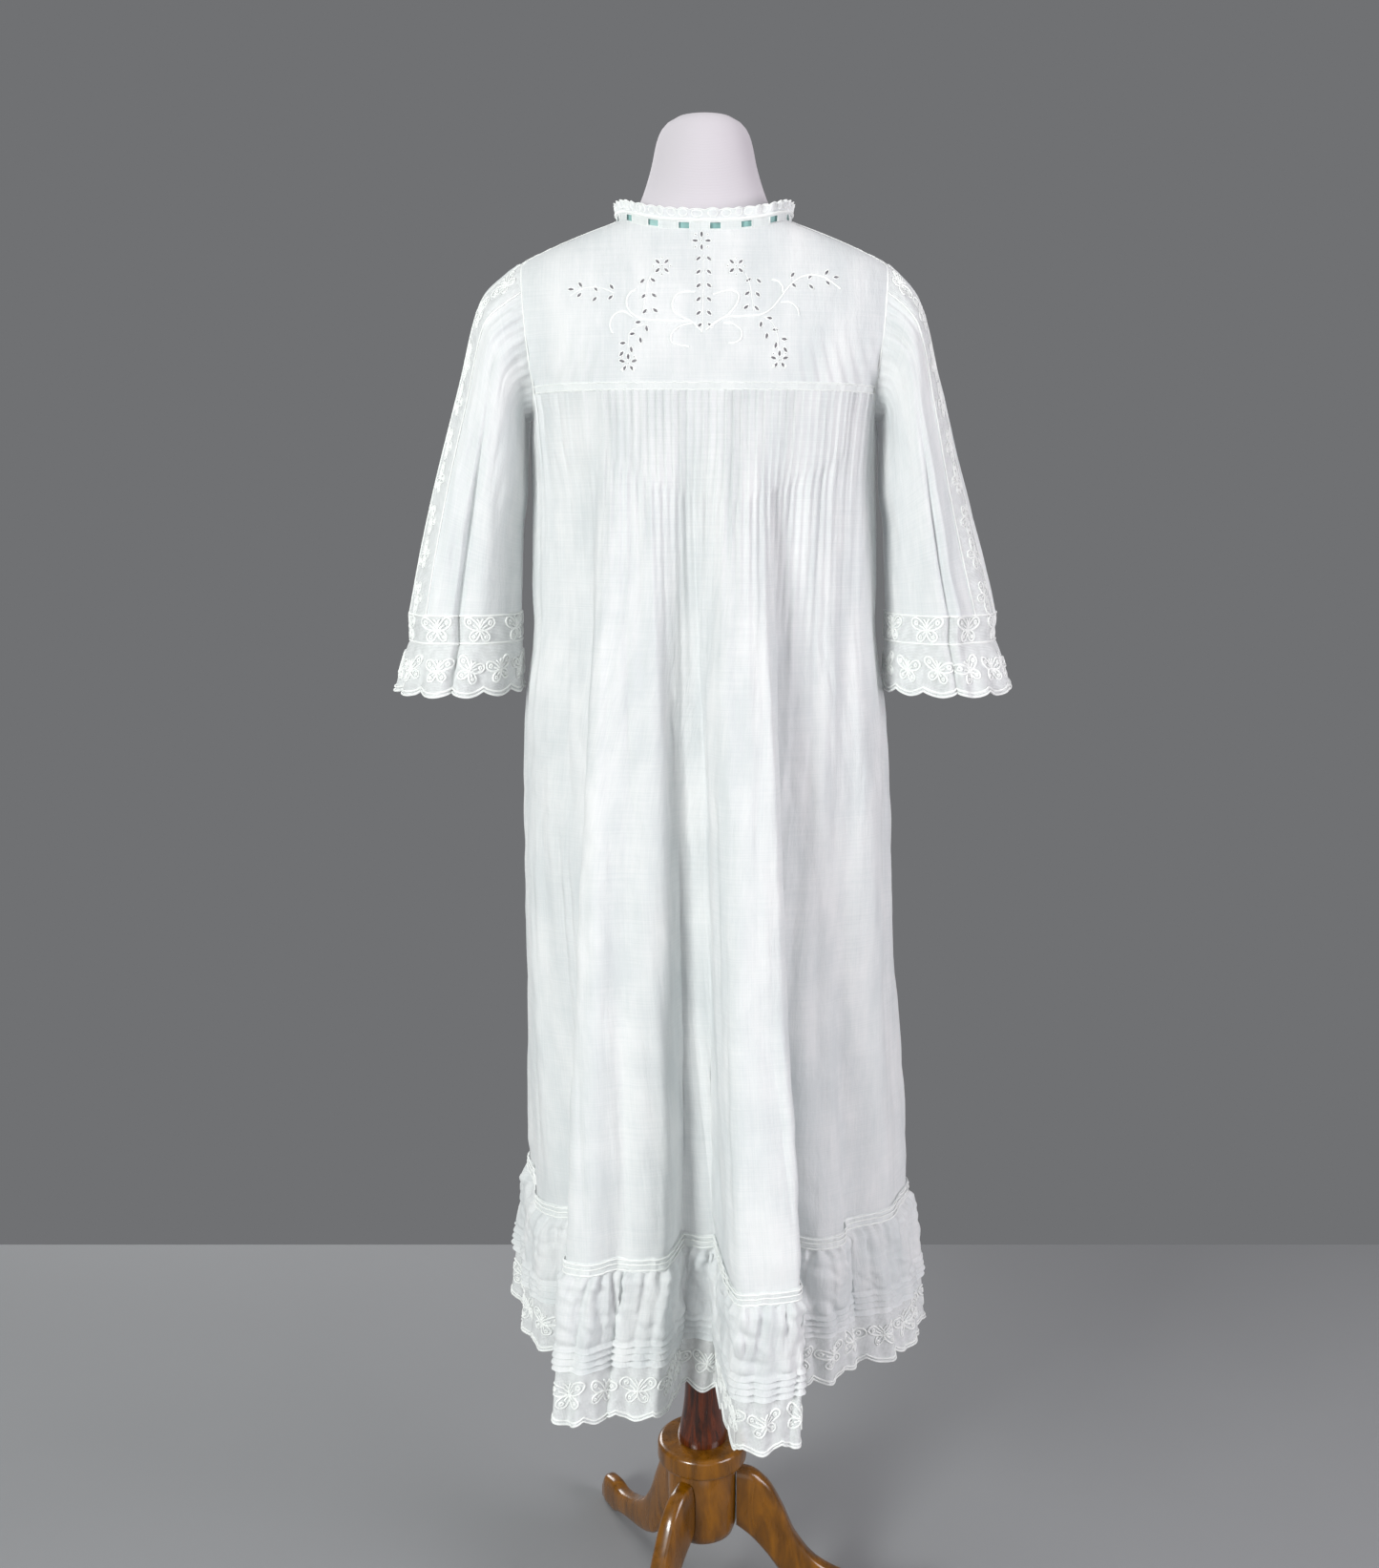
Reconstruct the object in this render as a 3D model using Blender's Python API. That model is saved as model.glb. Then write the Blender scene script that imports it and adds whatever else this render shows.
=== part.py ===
"""White cotton tea dress with lace and openwork, worn by a limbless dress form on a tripod stand.

Units are metres, Z is up and the floor is z = 0. The stand's pole is the Z axis. The back of the
dress faces -Y, and its wearer would face +Y. An angle round the body is 0 at the centre back,
90 at +X and 180 at the centre front. Every piece of cloth is a thin wall: its inner side lies on
the garment's surface, and its outer side is that surface moved out.
"""

import math
from collections import namedtuple

import bmesh
import bpy
import numpy as np
from mathutils import Vector
from mathutils.geometry import delaunay_2d_cdt

# Driving dimensions
CLOTH = 0.0013
LACE = 0.0011
RIBBON = 0.0009
RIBBON_GAP = 0.0016
SEAM = 0.0004
ARMHOLE_SEAM = 0.0014
UNDERARM_EASE = 0.0015
YOKE_LINE = 1.4260
TAPE_HEIGHT = 0.0115
TAPE_SHORT = 2.6
PANEL_TOP_TURN = 1.5
FLOUNCE_TOP = 0.5600
HEM_BAND_HEIGHT = 0.0140
LACE_TOP = 0.4490
HEM = 0.3900
SCALLOP_DEPTH = 0.0075
HEM_SCALLOPS = 56
HEM_MIDDLE = 0.4700
FLOUNCE_WAVES = 48
TUCKS = 32
TUCK_HEIGHT = 0.0022
TUCK_FROM_X = -0.100
TUCK_TO_X = 0.143
TUCK_END_MIDDLE = 1.318
TUCK_END_SIDE = 1.362
SHOULDER_BACK = 71.0
SHOULDER_FRONT = 83.0
SEAM_TURN = 0.2
NECK_BACK = 1.5790
NECK_SIDE = 1.5945
NECK_FRONT = 1.5660
NECK_ROUND = 3.5
NECKBAND_HEIGHT = 0.0100
FRILL_HEIGHT = 0.0115
FRILL_WAVES = 34
BEADING_SLOTS = 8
SLOT_PITCH = 0.0310
SLOT_WIDTH = 0.0108
FIRST_SLOT = 0.0204
PANEL_WIDTH = 0.70
CUFF_TOP = 1.1990
CUFF_BAND = 0.0285
CUFF_HEM = 1.1160
CUFF_REPEATS = 5
RUFFLE_SCALLOPS = 6
# One scallop of the sleeve ruffle: share of its width, and height above the lowest point
CUFF_SCALLOP = ((0.0, 0.0060), (0.25, 0.0015), (0.5, 0.0), (0.75, 0.0015))
FORM_BASE = 1.0200

# Share of the front yoke's top edge at which its shoulder seam ends and its neckline begins
NECK_CORNER = 0.45

# The dress without its folds: half width, depth behind and before the pole, and squareness
Section = namedtuple("Section", "height half_width back front square")
BODY = (
    Section(0.380, 0.1960, 0.1620, 0.1650, 2.20),
    Section(0.560, 0.1950, 0.1570, 0.1600, 2.20),
    Section(0.820, 0.1950, 0.1480, 0.1520, 2.20),
    Section(0.980, 0.1930, 0.1410, 0.1460, 2.25),
    Section(1.080, 0.1890, 0.1360, 0.1420, 2.25),
    Section(1.200, 0.1760, 0.1300, 0.1370, 2.30),
    Section(1.330, 0.1740, 0.1230, 0.1340, 2.40),
    Section(1.400, 0.1760, 0.1170, 0.1280, 2.80),
    Section(1.425, 0.1780, 0.1150, 0.1220, 3.00),
    Section(1.450, 0.1880, 0.1130, 0.1160, 3.00),
    Section(1.478, 0.1990, 0.1080, 0.1070, 2.90),
    Section(1.500, 0.2060, 0.1030, 0.0980, 2.70),
    Section(1.530, 0.2050, 0.0920, 0.0830, 2.50),
    Section(1.545, 0.1980, 0.0850, 0.0740, 2.35),
    Section(1.556, 0.1860, 0.0800, 0.0690, 2.25),
    Section(1.565, 0.1680, 0.0770, 0.0670, 2.20),
    Section(1.575, 0.1445, 0.0745, 0.0655, 2.20),
    Section(1.585, 0.1180, 0.0725, 0.0645, 2.20),
    Section(1.592, 0.0980, 0.0710, 0.0640, 2.20),
    Section(1.600, 0.0800, 0.0700, 0.0640, 2.20),
)

# Where the armhole seam lies: its distance from the centre at each height
Armhole = namedtuple("Armhole", "height reach")
ARMHOLE = (
    Armhole(1.400, 0.1760),
    Armhole(1.425, 0.1720),
    Armhole(1.450, 0.1750),
    Armhole(1.500, 0.1805),
    Armhole(1.540, 0.1845),
    Armhole(1.556, 0.1860),
)

# The shoulder seams meet the armholes above this height
SHOULDER_LOW = 1.500

# Deep folds of the skirt: angle and half spread at their top and at the hem, and how far each
# stands out at the four heights below
Fold = namedtuple(
    "Fold", "place angle_top angle_hem spread_top spread_hem rise_top rise_mid rise_low rise_hem crisp"
)
FOLDS = (
    Fold("left back ridge", -36, -23.5, 11, 16.5, 0.006, 0.042, 0.058, 0.062, 6),
    Fold("left back edge", -42, -33.0, 7, 12.5, 0.003, 0.028, 0.044, 0.050, 3),
    Fold("right back ridge", 17, 12.2, 12, 9.8, 0.009, 0.084, 0.128, 0.118, 6),
    Fold("right crease", 42, 40.0, 5, 8.0, 0.000, 0.012, 0.038, 0.022, 3),
    Fold("right flank", 62, 76.0, 16, 21.0, 0.000, 0.016, 0.033, 0.045, 3),
    Fold("left recess", -84, -84.0, 8, 10.0, 0.000, 0.000, -0.010, -0.004, 2),
    Fold("left flank", -100, -103.0, 10, 11.0, 0.000, 0.004, 0.010, 0.026, 2),
    Fold("left front flank", -128, -124.0, 10, 12.0, 0.002, 0.016, 0.030, 0.040, 3),
    Fold("left front ridge", -152, -152.0, 11, 11.0, 0.004, 0.050, 0.084, 0.096, 5),
    Fold("right front ridge", 163, 168.0, 11, 9.5, 0.005, 0.062, 0.104, 0.116, 6),
    Fold("right front flank", 130, 128.0, 12, 15.0, 0.002, 0.022, 0.040, 0.052, 3),
)
FOLD_TOP = 1.400
FOLD_MIDDLE = 0.820
FOLD_LOW = 0.560
FOLD_HEM = 0.385
FOLD_START = 0.08

# Small soft folds between the deep ones
Ripple = namedtuple("Ripple", "waves lag rise_top rise_hem")
RIPPLES = (
    Ripple(13, 0.6, 0.0005, 0.0030),
    Ripple(21, 2.1, 0.0008, 0.0018),
)
RIPPLE_DRIFT = 0.8

# The sleeve from the armhole to its end: outer edge, inner edge, half depth and centre line, and
# how much farther out the left sleeve hangs than the right one
Fall = namedtuple("Fall", "share outer_x outer_z inner_x inner_z half_depth middle lean")
SLEEVE = (
    Fall(0.00, 0.1877, 1.5560, 0.1777, 1.4000, 0.0740, 0.000, 0.000),
    Fall(0.06, 0.2015, 1.5445, 0.1860, 1.3985, 0.0770, -0.001, 0.002),
    Fall(0.15, 0.2240, 1.5200, 0.1890, 1.3850, 0.0800, -0.003, 0.008),
    Fall(0.35, 0.2465, 1.4380, 0.1900, 1.3380, 0.0800, -0.006, 0.008),
    Fall(0.60, 0.2705, 1.3450, 0.1915, 1.2900, 0.0770, -0.009, 0.010),
    Fall(0.80, 0.2890, 1.2750, 0.1935, 1.2430, 0.0750, -0.010, 0.008),
    Fall(1.00, 0.3085, 1.1990, 0.1950, 1.1990, 0.0740, -0.010, 0.002),
)
RUFFLE_OUTER_X = 0.3270
RUFFLE_INNER_X = 0.1945
RUFFLE_HALF_DEPTH = 0.0860
RUFFLE_WAVES = 12
RUFFLE_RISE = 0.0035
INSERTION_FROM = 309.0
INSERTION_TO = 325.0
SLEEVE_FOLDS = (
    Ripple(3, 0.7, 0.0000, 0.0050),
    Ripple(7, 1.9, 0.0000, 0.0022),
)
CAP_WAVES = 16
SLEEVE_HELD = 0.16
CAP_RISE = 0.0016

# The dress form, and its neck
FORM = (
    Section(1.020, 0.1480, 0.1030, 0.1030, 2.20),
    Section(1.070, 0.1500, 0.1060, 0.1060, 2.20),
    Section(1.130, 0.1380, 0.0980, 0.1000, 2.20),
    Section(1.200, 0.1180, 0.0860, 0.0930, 2.20),
    Section(1.280, 0.1280, 0.0900, 0.1050, 2.20),
    Section(1.350, 0.1430, 0.0970, 0.1150, 2.20),
    Section(1.410, 0.1510, 0.0990, 0.1080, 2.30),
    Section(1.460, 0.1620, 0.0960, 0.0960, 2.50),
    Section(1.505, 0.1730, 0.0880, 0.0850, 2.50),
    Section(1.535, 0.1780, 0.0790, 0.0720, 2.40),
    Section(1.553, 0.1760, 0.0720, 0.0630, 2.30),
    Section(1.565, 0.1640, 0.0680, 0.0600, 2.20),
    Section(1.575, 0.1395, 0.0650, 0.0570, 2.20),
    Section(1.585, 0.1110, 0.0625, 0.0550, 2.20),
    Section(1.594, 0.0830, 0.0610, 0.0555, 2.20),
    Section(1.604, 0.0730, 0.0600, 0.0550, 2.10),
    Section(1.620, 0.0645, 0.0560, 0.0530, 2.00),
    Section(1.650, 0.0545, 0.0510, 0.0500, 2.00),
    Section(1.678, 0.0480, 0.0460, 0.0460, 2.00),
    Section(1.691, 0.0410, 0.0400, 0.0400, 2.00),
    Section(1.699, 0.0285, 0.0280, 0.0280, 2.00),
)
FORM_TOP = 1.7025
FORM_COLUMNS = 24

# The wooden stand
POLE_RADIUS = 0.0200
POLE_FOOT_RADIUS = 0.0285
COLLAR_RADIUS = 0.0525
COLLAR_BASE = 0.2010
COLLAR_HEIGHT = 0.0260
HUB_RADIUS = 0.0400
HUB_BASE = 0.1060
LEG_WIDTH = 0.0260
LEG_ANGLES = (0.0, 120.0, 240.0)
# A leg seen from its side: reach from the pole, and the heights of its upper and lower edges
LegPoint = namedtuple("LegPoint", "reach upper lower")
LEG = (
    LegPoint(0.0405, 0.1900, 0.1150),
    LegPoint(0.0580, 0.1860, 0.1000),
    LegPoint(0.0780, 0.1700, 0.0760),
    LegPoint(0.0960, 0.1380, 0.0500),
    LegPoint(0.1120, 0.1010, 0.0330),
    LegPoint(0.1400, 0.0660, 0.0215),
    LegPoint(0.1750, 0.0470, 0.0150),
    LegPoint(0.2050, 0.0400, 0.0070),
    LegPoint(0.2200, 0.0430, 0.0000),
    LegPoint(0.2420, 0.0400, 0.0000),
    LegPoint(0.2520, 0.0250, 0.0000),
)
# The leg's cross-section: share of its half width, and share of its height
LEG_SECTION = (
    (-0.6, 0.0), (-1.0, 0.18), (-1.0, 0.80), (-0.55, 1.0), (0.55, 1.0), (1.0, 0.80), (1.0, 0.18), (0.6, 0.0),
)
FOOT_END = 0.245

# Embroidery: sprigs of leaf-shaped eyelets, as a bent stem with pairs of leaves, and flowers
Sprig = namedtuple("Sprig", "place x z end_x end_z bend pairs tip")
SPRIGS = (
    Sprig("centre", -0.001, 1.5500, -0.001, 1.4960, 0.0000, 5, False),
    Sprig("centre foot", 0.000, 1.4840, 0.000, 1.4740, 0.0000, 1, False),
    Sprig("upper left", -0.0560, 1.5280, -0.0535, 1.4980, 0.0000, 3, False),
    Sprig("upper right", 0.0480, 1.5280, 0.0455, 1.5010, 0.0000, 3, False),
    Sprig("far left", -0.0920, 1.5170, -0.1230, 1.5200, 0.0030, 3, True),
    Sprig("far right", 0.0870, 1.5290, 0.1210, 1.5320, -0.0030, 3, True),
    Sprig("lower left", -0.0610, 1.4840, -0.0760, 1.4640, 0.0020, 3, True),
    Sprig("lower right", 0.0590, 1.4880, 0.0735, 1.4680, -0.0020, 3, True),
)
LEAF_LENGTH = 0.0060
LEAF_WIDTH = 0.0034
LEAF_SPLAY = 0.0052
Flower = namedtuple("Flower", "place x z petals turn reach")
FLOWERS = (
    Flower("neckline", -0.003, 1.5680, 4, 0.0, 0.0064),
    Flower("upper left", -0.0420, 1.5425, 4, 45.0, 0.0062),
    Flower("upper right", 0.0310, 1.5425, 4, 45.0, 0.0062),
    Flower("lower left", -0.0750, 1.4480, 5, 90.0, 0.0062),
    Flower("lower right", 0.0730, 1.4510, 5, 90.0, 0.0062),
)

# Front closing
PLACKET_HALF_WIDTH = 0.0130
PLACKET_BASE = 1.3450
PLACKET_LIFT = 0.0007
BUTTON_RADIUS = 0.0055
BUTTON_THICKNESS = 0.0022
BUTTON_GAP = 0.0005
BUTTON_HEIGHTS = (1.526, 1.473, 1.420, 1.367)


def slope(keys, values, at):
    """Slope of a smooth curve at one of its rows."""
    if at == 0:
        return (values[1] - values[0]) / (keys[1] - keys[0])
    if at == len(keys) - 1:
        return (values[-1] - values[-2]) / (keys[-1] - keys[-2])
    before = (values[at] - values[at - 1]) / (keys[at] - keys[at - 1])
    after = (values[at + 1] - values[at]) / (keys[at + 1] - keys[at])
    return 0.0 if before * after <= 0 else 2 * before * after / (before + after)


def along(table, column, key):
    """Value of a table's column at a key between its rows, on a smooth curve through them."""
    keys = [row[0] for row in table]
    values = [getattr(row, column) for row in table]
    if key <= keys[0]:
        return values[0]
    if key >= keys[-1]:
        return values[-1]
    i = max(n for n in range(len(keys) - 1) if keys[n] <= key)
    step = keys[i + 1] - keys[i]
    t = (key - keys[i]) / step
    rise_a = slope(keys, values, i) * step
    rise_b = slope(keys, values, i + 1) * step
    return (
        values[i] * (2 * t**3 - 3 * t**2 + 1)
        + rise_a * (t**3 - 2 * t**2 + t)
        + values[i + 1] * (3 * t**2 - 2 * t**3)
        + rise_b * (t**3 - t**2)
    )


def mix(a, b, t):
    return a + (b - a) * t


def ease(t):
    t = min(1.0, max(0.0, t))
    return t * t * (3 - 2 * t)


def signed_power(value, power):
    return math.copysign(abs(value) ** power, value)


# The garment's surface


def wall_point(table, angle, z):
    """Point of a section table's surface at an angle from the centre back, as on an ellipse."""
    turn = math.radians(angle)
    power = 2 / along(table, "square", z)
    side = "back" if math.cos(turn) >= 0 else "front"
    depth = along(table, side, z)
    x = along(table, "half_width", z) * signed_power(math.sin(turn), power)
    y = -depth * signed_power(math.cos(turn), power)
    return Vector((x, y, z))


def depth_at(x, z):
    """Y of the dress's back at a place across and up the panel."""
    power = along(BODY, "square", z)
    share = min(1.0, abs(x) / along(BODY, "half_width", z))
    return -along(BODY, "back", z) * (1 - share**power) ** (1 / power)


def turned(angle):
    """An angle brought to within half a turn of zero."""
    return (angle + 180.0) % 360.0 - 180.0


def fold_rise(angle, z):
    """How far the skirt's folds stand out from its oval."""
    down = min(1.0, max(0.0, (FOLD_TOP - z) / (FOLD_TOP - FOLD_HEM)))
    heights = (FOLD_HEM, FOLD_LOW, FOLD_MIDDLE, FOLD_TOP)
    rise = 0.0
    for fold in FOLDS:
        away = turned(angle - mix(fold.angle_top, fold.angle_hem, down))
        spread = mix(fold.spread_top, fold.spread_hem, down)
        height = np.interp(z, heights, (fold.rise_hem, fold.rise_low, fold.rise_mid, fold.rise_top))
        rise += height * math.exp(-abs(away / spread) ** fold.crisp)
    for ripple in RIPPLES:
        lag = ripple.lag + RIPPLE_DRIFT * math.sin(math.radians(2 * angle))
        swing = math.sin(math.radians(ripple.waves * angle) + lag)
        rise += mix(ripple.rise_top, ripple.rise_hem, down) * swing
    return float(rise) * ease(down / FOLD_START)


def skirt_point(angle, z):
    """Point of the hanging skirt at an angle from the centre back."""
    turn = math.radians(angle)
    power = along(BODY, "square", z)
    side = "back" if math.cos(turn) >= 0 else "front"
    across = abs(math.sin(turn)) / along(BODY, "half_width", z)
    depth = abs(math.cos(turn)) / along(BODY, side, z)
    radius = (across**power + depth**power) ** (-1 / power) + fold_rise(angle, z)
    return Vector((radius * math.sin(turn), -radius * math.cos(turn), z))


ROW_SAMPLES = 360
BEND_WEIGHT = 1.2
rows_measured = {}


def bend_shares(z, first, last, count):
    """Shares of a row's length, closer together where the row bends."""
    angles = np.linspace(first, last, ROW_SAMPLES)
    points = np.array([skirt_point(angle, z) for angle in angles])
    steps = np.diff(points, axis=0)
    lengths = np.linalg.norm(steps, axis=1)
    bends = np.abs(np.gradient(np.unwrap(np.arctan2(steps[:, 1], steps[:, 0]))))
    weights = lengths / lengths.sum() + BEND_WEIGHT * bends / bends.sum()
    reached = np.concatenate([[0.0], np.cumsum(weights)]) / weights.sum()
    shares = np.concatenate([[0.0], np.cumsum(lengths)]) / lengths.sum()
    return [float(share) for share in np.interp(np.linspace(0, 1, count), reached, shares)]


def angle_along(z, share, first, last):
    """Angle at a share of the cloth's length round the skirt between two angles."""
    key = (round(z, 4), first, last)
    if key not in rows_measured:
        angles = np.linspace(first, last, ROW_SAMPLES)
        points = np.array([skirt_point(angle, z) for angle in angles])
        lengths = np.concatenate([[0.0], np.cumsum(np.linalg.norm(np.diff(points, axis=0), axis=1))])
        rows_measured[key] = (lengths / lengths[-1], angles)
    shares, angles = rows_measured[key]
    return float(np.interp(share, shares, angles))


def back_skirt_place(s, z):
    """A flat point of the back panel, on the hanging skirt."""
    share = s / PANEL_WIDTH + 0.5
    return skirt_point(angle_along(z, share, -90.0, 90.0), z)


def front_skirt_place(s, z):
    share = s / PANEL_WIDTH + 0.5
    return skirt_point(angle_along(z, share, 90.0, 270.0), z)


def armhole_point(phi, side, away=0.0):
    """Point of the armhole seam. phi is 0 at the shoulder, 90 at the back, 180 under the arm."""
    turn = math.radians(phi)
    middle = (ARMHOLE[-1].height + ARMHOLE[0].height) / 2
    z = middle + (ARMHOLE[-1].height - middle) * math.cos(turn)
    x = along(ARMHOLE, "reach", z)
    power = along(BODY, "square", z)
    share = min(1.0, x / along(BODY, "half_width", z))
    depth = along(BODY, "back" if math.sin(turn) >= 0 else "front", z)
    y = -math.copysign(depth * (1 - share**power) ** (1 / power), math.sin(turn))
    return Vector((side * (x + away), y, z))


def armhole_angle(z):
    """Angle from the centre back at which the armhole seam crosses a height."""
    share = min(1.0, along(ARMHOLE, "reach", z) / along(BODY, "half_width", z))
    return math.degrees(math.asin(share ** (along(BODY, "square", z) / 2)))


def armhole_height(angle):
    """Height at which the armhole seam crosses an angle on the shoulder."""
    low, high = SHOULDER_LOW, ARMHOLE[-1].height
    for _ in range(30):
        middle = (low + high) / 2
        if armhole_angle(middle) < angle:
            low = middle
        else:
            high = middle
    return low


def neck_height(angle):
    """Height of the neckline seam at an angle from the centre back."""
    lean = math.cos(math.radians(angle))
    lowest = NECK_BACK if lean > 0 else NECK_FRONT
    return mix(NECK_SIDE, lowest, abs(lean) ** NECK_ROUND)


def neck_point(angle, up, inwards=0.0):
    """Point above the neckline seam, set in from it towards the neck."""
    point = wall_point(BODY, angle, neck_height(angle))
    level = Vector((point.x, point.y, 0.0)).normalized()
    return point - level * inwards + Vector((0.0, 0.0, up))


# Making solids from surfaces


def new_material(name, colour, roughness, metallic=0.0):
    material = bpy.data.materials.new(name)
    material.use_nodes = True
    shader = material.node_tree.nodes["Principled BSDF"]
    shader.inputs["Base Color"].default_value = (*colour, 1.0)
    shader.inputs["Roughness"].default_value = roughness
    shader.inputs["Metallic"].default_value = metallic
    return material


def add_object(name, points, faces, material):
    """A named object from points and faces, with its faces turned outwards."""
    mesh = bpy.data.meshes.new(name)
    mesh.from_pydata(points, [], faces)
    solid = bmesh.new()
    solid.from_mesh(mesh)
    if solid.calc_volume(signed=True) < 0:
        bmesh.ops.reverse_faces(solid, faces=solid.faces)
    solid.to_mesh(mesh)
    solid.free()
    mesh.materials.append(material)
    mesh.shade_smooth()
    mesh.set_sharp_from_angle(angle=math.radians(50))
    made = bpy.data.objects.new(name, mesh)
    bpy.context.scene.collection.objects.link(made)
    return made


def point_normals(points, faces, core, level):
    """Outward normals of a surface's points. level keeps them horizontal."""
    places = np.array([tuple(point) for point in points])
    corners = np.array(faces)
    a, b, c = places[corners[:, 0]], places[corners[:, 1]], places[corners[:, 2]]
    face_normals = np.cross(b - a, c - a)
    centres = (a + b + c) / 3
    outwards = centres - np.array([tuple(core(Vector(centre))) for centre in centres])
    if np.sum(face_normals * outwards) < 0:
        face_normals = -face_normals
    normals = np.zeros_like(places)
    for corner in range(3):
        np.add.at(normals, corners[:, corner], face_normals)
    if level:
        normals[:, 2] = 0.0
    return normals / np.linalg.norm(normals, axis=1, keepdims=True)


def thick_wall(name, points, faces, thickness, material, core, level=False, raised=None, normals=None):
    """A closed wall from a triangulated surface: its inner side, its outer side and its edges."""
    if normals is None:
        normals = point_normals(points, faces, core, level)
    count = len(points)
    outer = []
    for i, point in enumerate(points):
        height = thickness + (raised[i] if raised else 0.0)
        outer.append(Vector(point) + Vector(normals[i]) * height)
    solid_faces = [tuple(reversed(face)) for face in faces]
    solid_faces += [tuple(corner + count for corner in face) for face in faces]
    edges = {}
    for face in faces:
        for i in range(3):
            start, end = face[i], face[(i + 1) % 3]
            edges[(start, end)] = True
    for start, end in edges:
        if (end, start) not in edges:
            solid_faces.append((start, end, end + count))
            solid_faces.append((start, end + count, start + count))
    return add_object(name, list(points) + outer, solid_faces, material)


def body_core(point):
    return Vector((0.0, 0.0, point.z))


def grid_faces(rows, columns, closed=False):
    """Triangles of a grid of points, whose columns may close into a ring."""
    faces = []
    for row in range(rows - 1):
        for column in range(columns if closed else columns - 1):
            after = (column + 1) % columns
            a, b = row * columns + column, row * columns + after
            c, d = (row + 1) * columns + after, (row + 1) * columns + column
            faces += [(a, b, c), (a, c, d)]
    return faces


def grid_wall(name, place, rows, columns, thickness, material, core=body_core, closed=False, level=False):
    """A wall over a grid. rows and columns are the shares at which place is read."""
    points = [place(across, down) for down in rows for across in columns]
    faces = grid_faces(len(rows), len(columns), closed)
    return thick_wall(name, points, faces, thickness, material, core, level)


def inside(loop, x, y):
    """True where each point lies inside a loop, by counting the sides that it is left of."""
    crossings = np.zeros(len(x), dtype=int)
    for (ax, ay), (bx, by) in zip(loop, loop[1:] + loop[:1]):
        spans = (ay > y) != (by > y)
        edge_x = ax + (y - ay) * (bx - ax) / (by - ay if by != ay else 1e-12)
        crossings += spans & (x < edge_x)
    return crossings % 2 == 1


def cut_wall(name, outline, holes, extra, place, thickness, material, core=body_core, level=False, rise=None,
             clear=0.004, step=None):
    """A wall with holes: its flat pattern is triangulated, bent to shape by place and thickened."""
    loops = [outline] + holes
    flat = [point for loop in loops for point in loop]
    edges, start = [], 0
    for loop in loops:
        edges += [(start + i, start + (i + 1) % len(loop)) for i in range(len(loop))]
        start += len(loop)
    if extra:
        x = np.array([point[0] for point in extra])
        y = np.array([point[1] for point in extra])
        keep = inside(outline, x, y)
        for hole in holes:
            keep &= ~inside(hole, x, y)
        for px, py in flat:
            keep &= (x - px) ** 2 + (y - py) ** 2 > clear**2
        flat += [point for point, kept in zip(extra, keep) if kept]
    result = delaunay_2d_cdt([Vector(point) for point in flat], edges, [], 0, 1e-7)
    places, faces = result[0], result[2]
    x = np.array([sum(places[i].x for i in face) / 3 for face in faces])
    y = np.array([sum(places[i].y for i in face) / 3 for face in faces])
    keep = inside(outline, x, y)
    for hole in holes:
        keep &= ~inside(hole, x, y)
    faces = [tuple(face) for face, kept in zip(faces, keep) if kept]
    used = sorted({corner for face in faces for corner in face})
    number = {corner: i for i, corner in enumerate(used)}
    faces = [tuple(number[corner] for corner in face) for face in faces]
    flat_points = [(places[i].x, places[i].y) for i in used]
    points = [place(*point) for point in flat_points]
    raised = [rise(*point) for point in flat_points] if rise else None
    normals = None
    if step:
        normals = surface_normals(flat_points, place, core, step, level)
    return thick_wall(name, points, faces, thickness, material, core, level, raised, normals)


def surface_normals(flat_points, place, core, step, level):
    """Outward normals read from the surface itself, so that pieces that meet agree."""
    normals = []
    for u, v in flat_points:
        along_u = place(u + step, v) - place(u - step, v)
        along_v = place(u, v + step) - place(u, v - step)
        normal = along_u.cross(along_v)
        here = place(u, v)
        if normal.dot(here - core(here)) < 0:
            normal = -normal
        if level:
            normal.z = 0.0
        normals.append(tuple(normal.normalized()))
    return normals


def spaced(first, last, count):
    return [mix(first, last, i / (count - 1)) for i in range(count)]


def loop_shares(count):
    return [i / count for i in range(count)]


# Back yoke


LEAF_SHAPE = ((0.5, 0.0), (0.18, 0.5), (-0.22, 0.42), (-0.5, 0.0), (-0.22, -0.42), (0.18, -0.5))
PETAL_SHAPE = ((0.5, 0.0), (0.05, 0.5), (-0.5, 0.0), (0.05, -0.5))


def leaf(x, z, turn, profile=LEAF_SHAPE, length=LEAF_LENGTH, width=LEAF_WIDTH):
    """A leaf-shaped hole with two pointed ends."""
    across, up = math.cos(turn), math.sin(turn)
    points = []
    for share_l, share_w in profile:
        along_leaf, beside = share_l * length, share_w * width
        points.append((x + along_leaf * across - beside * up, z + along_leaf * up + beside * across))
    return points


def sprig_leaves(sprig):
    """Leaf eyelets in pairs along a bent stem, with one at its tip."""
    run_x, run_z = sprig.end_x - sprig.x, sprig.end_z - sprig.z
    length = math.hypot(run_x, run_z)
    side_x, side_z = -run_z / length, run_x / length
    heading = math.atan2(run_z, run_x)
    leaves = []
    for i in range(sprig.pairs):
        t = i / max(1, sprig.pairs - 1)
        bow = sprig.bend * math.sin(math.pi * t)
        stem_x = sprig.x + run_x * t + side_x * bow
        stem_z = sprig.z + run_z * t + side_z * bow
        for side in (1, -1):
            turn = heading + side * math.radians(48)
            out = side * LEAF_SPLAY
            leaves.append(leaf(stem_x + side_x * out, stem_z + side_z * out, turn))
    if sprig.tip:
        reach = LEAF_LENGTH * 1.5 / length
        leaves.append(leaf(sprig.end_x + run_x * reach, sprig.end_z + run_z * reach, heading))
    return leaves


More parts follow.
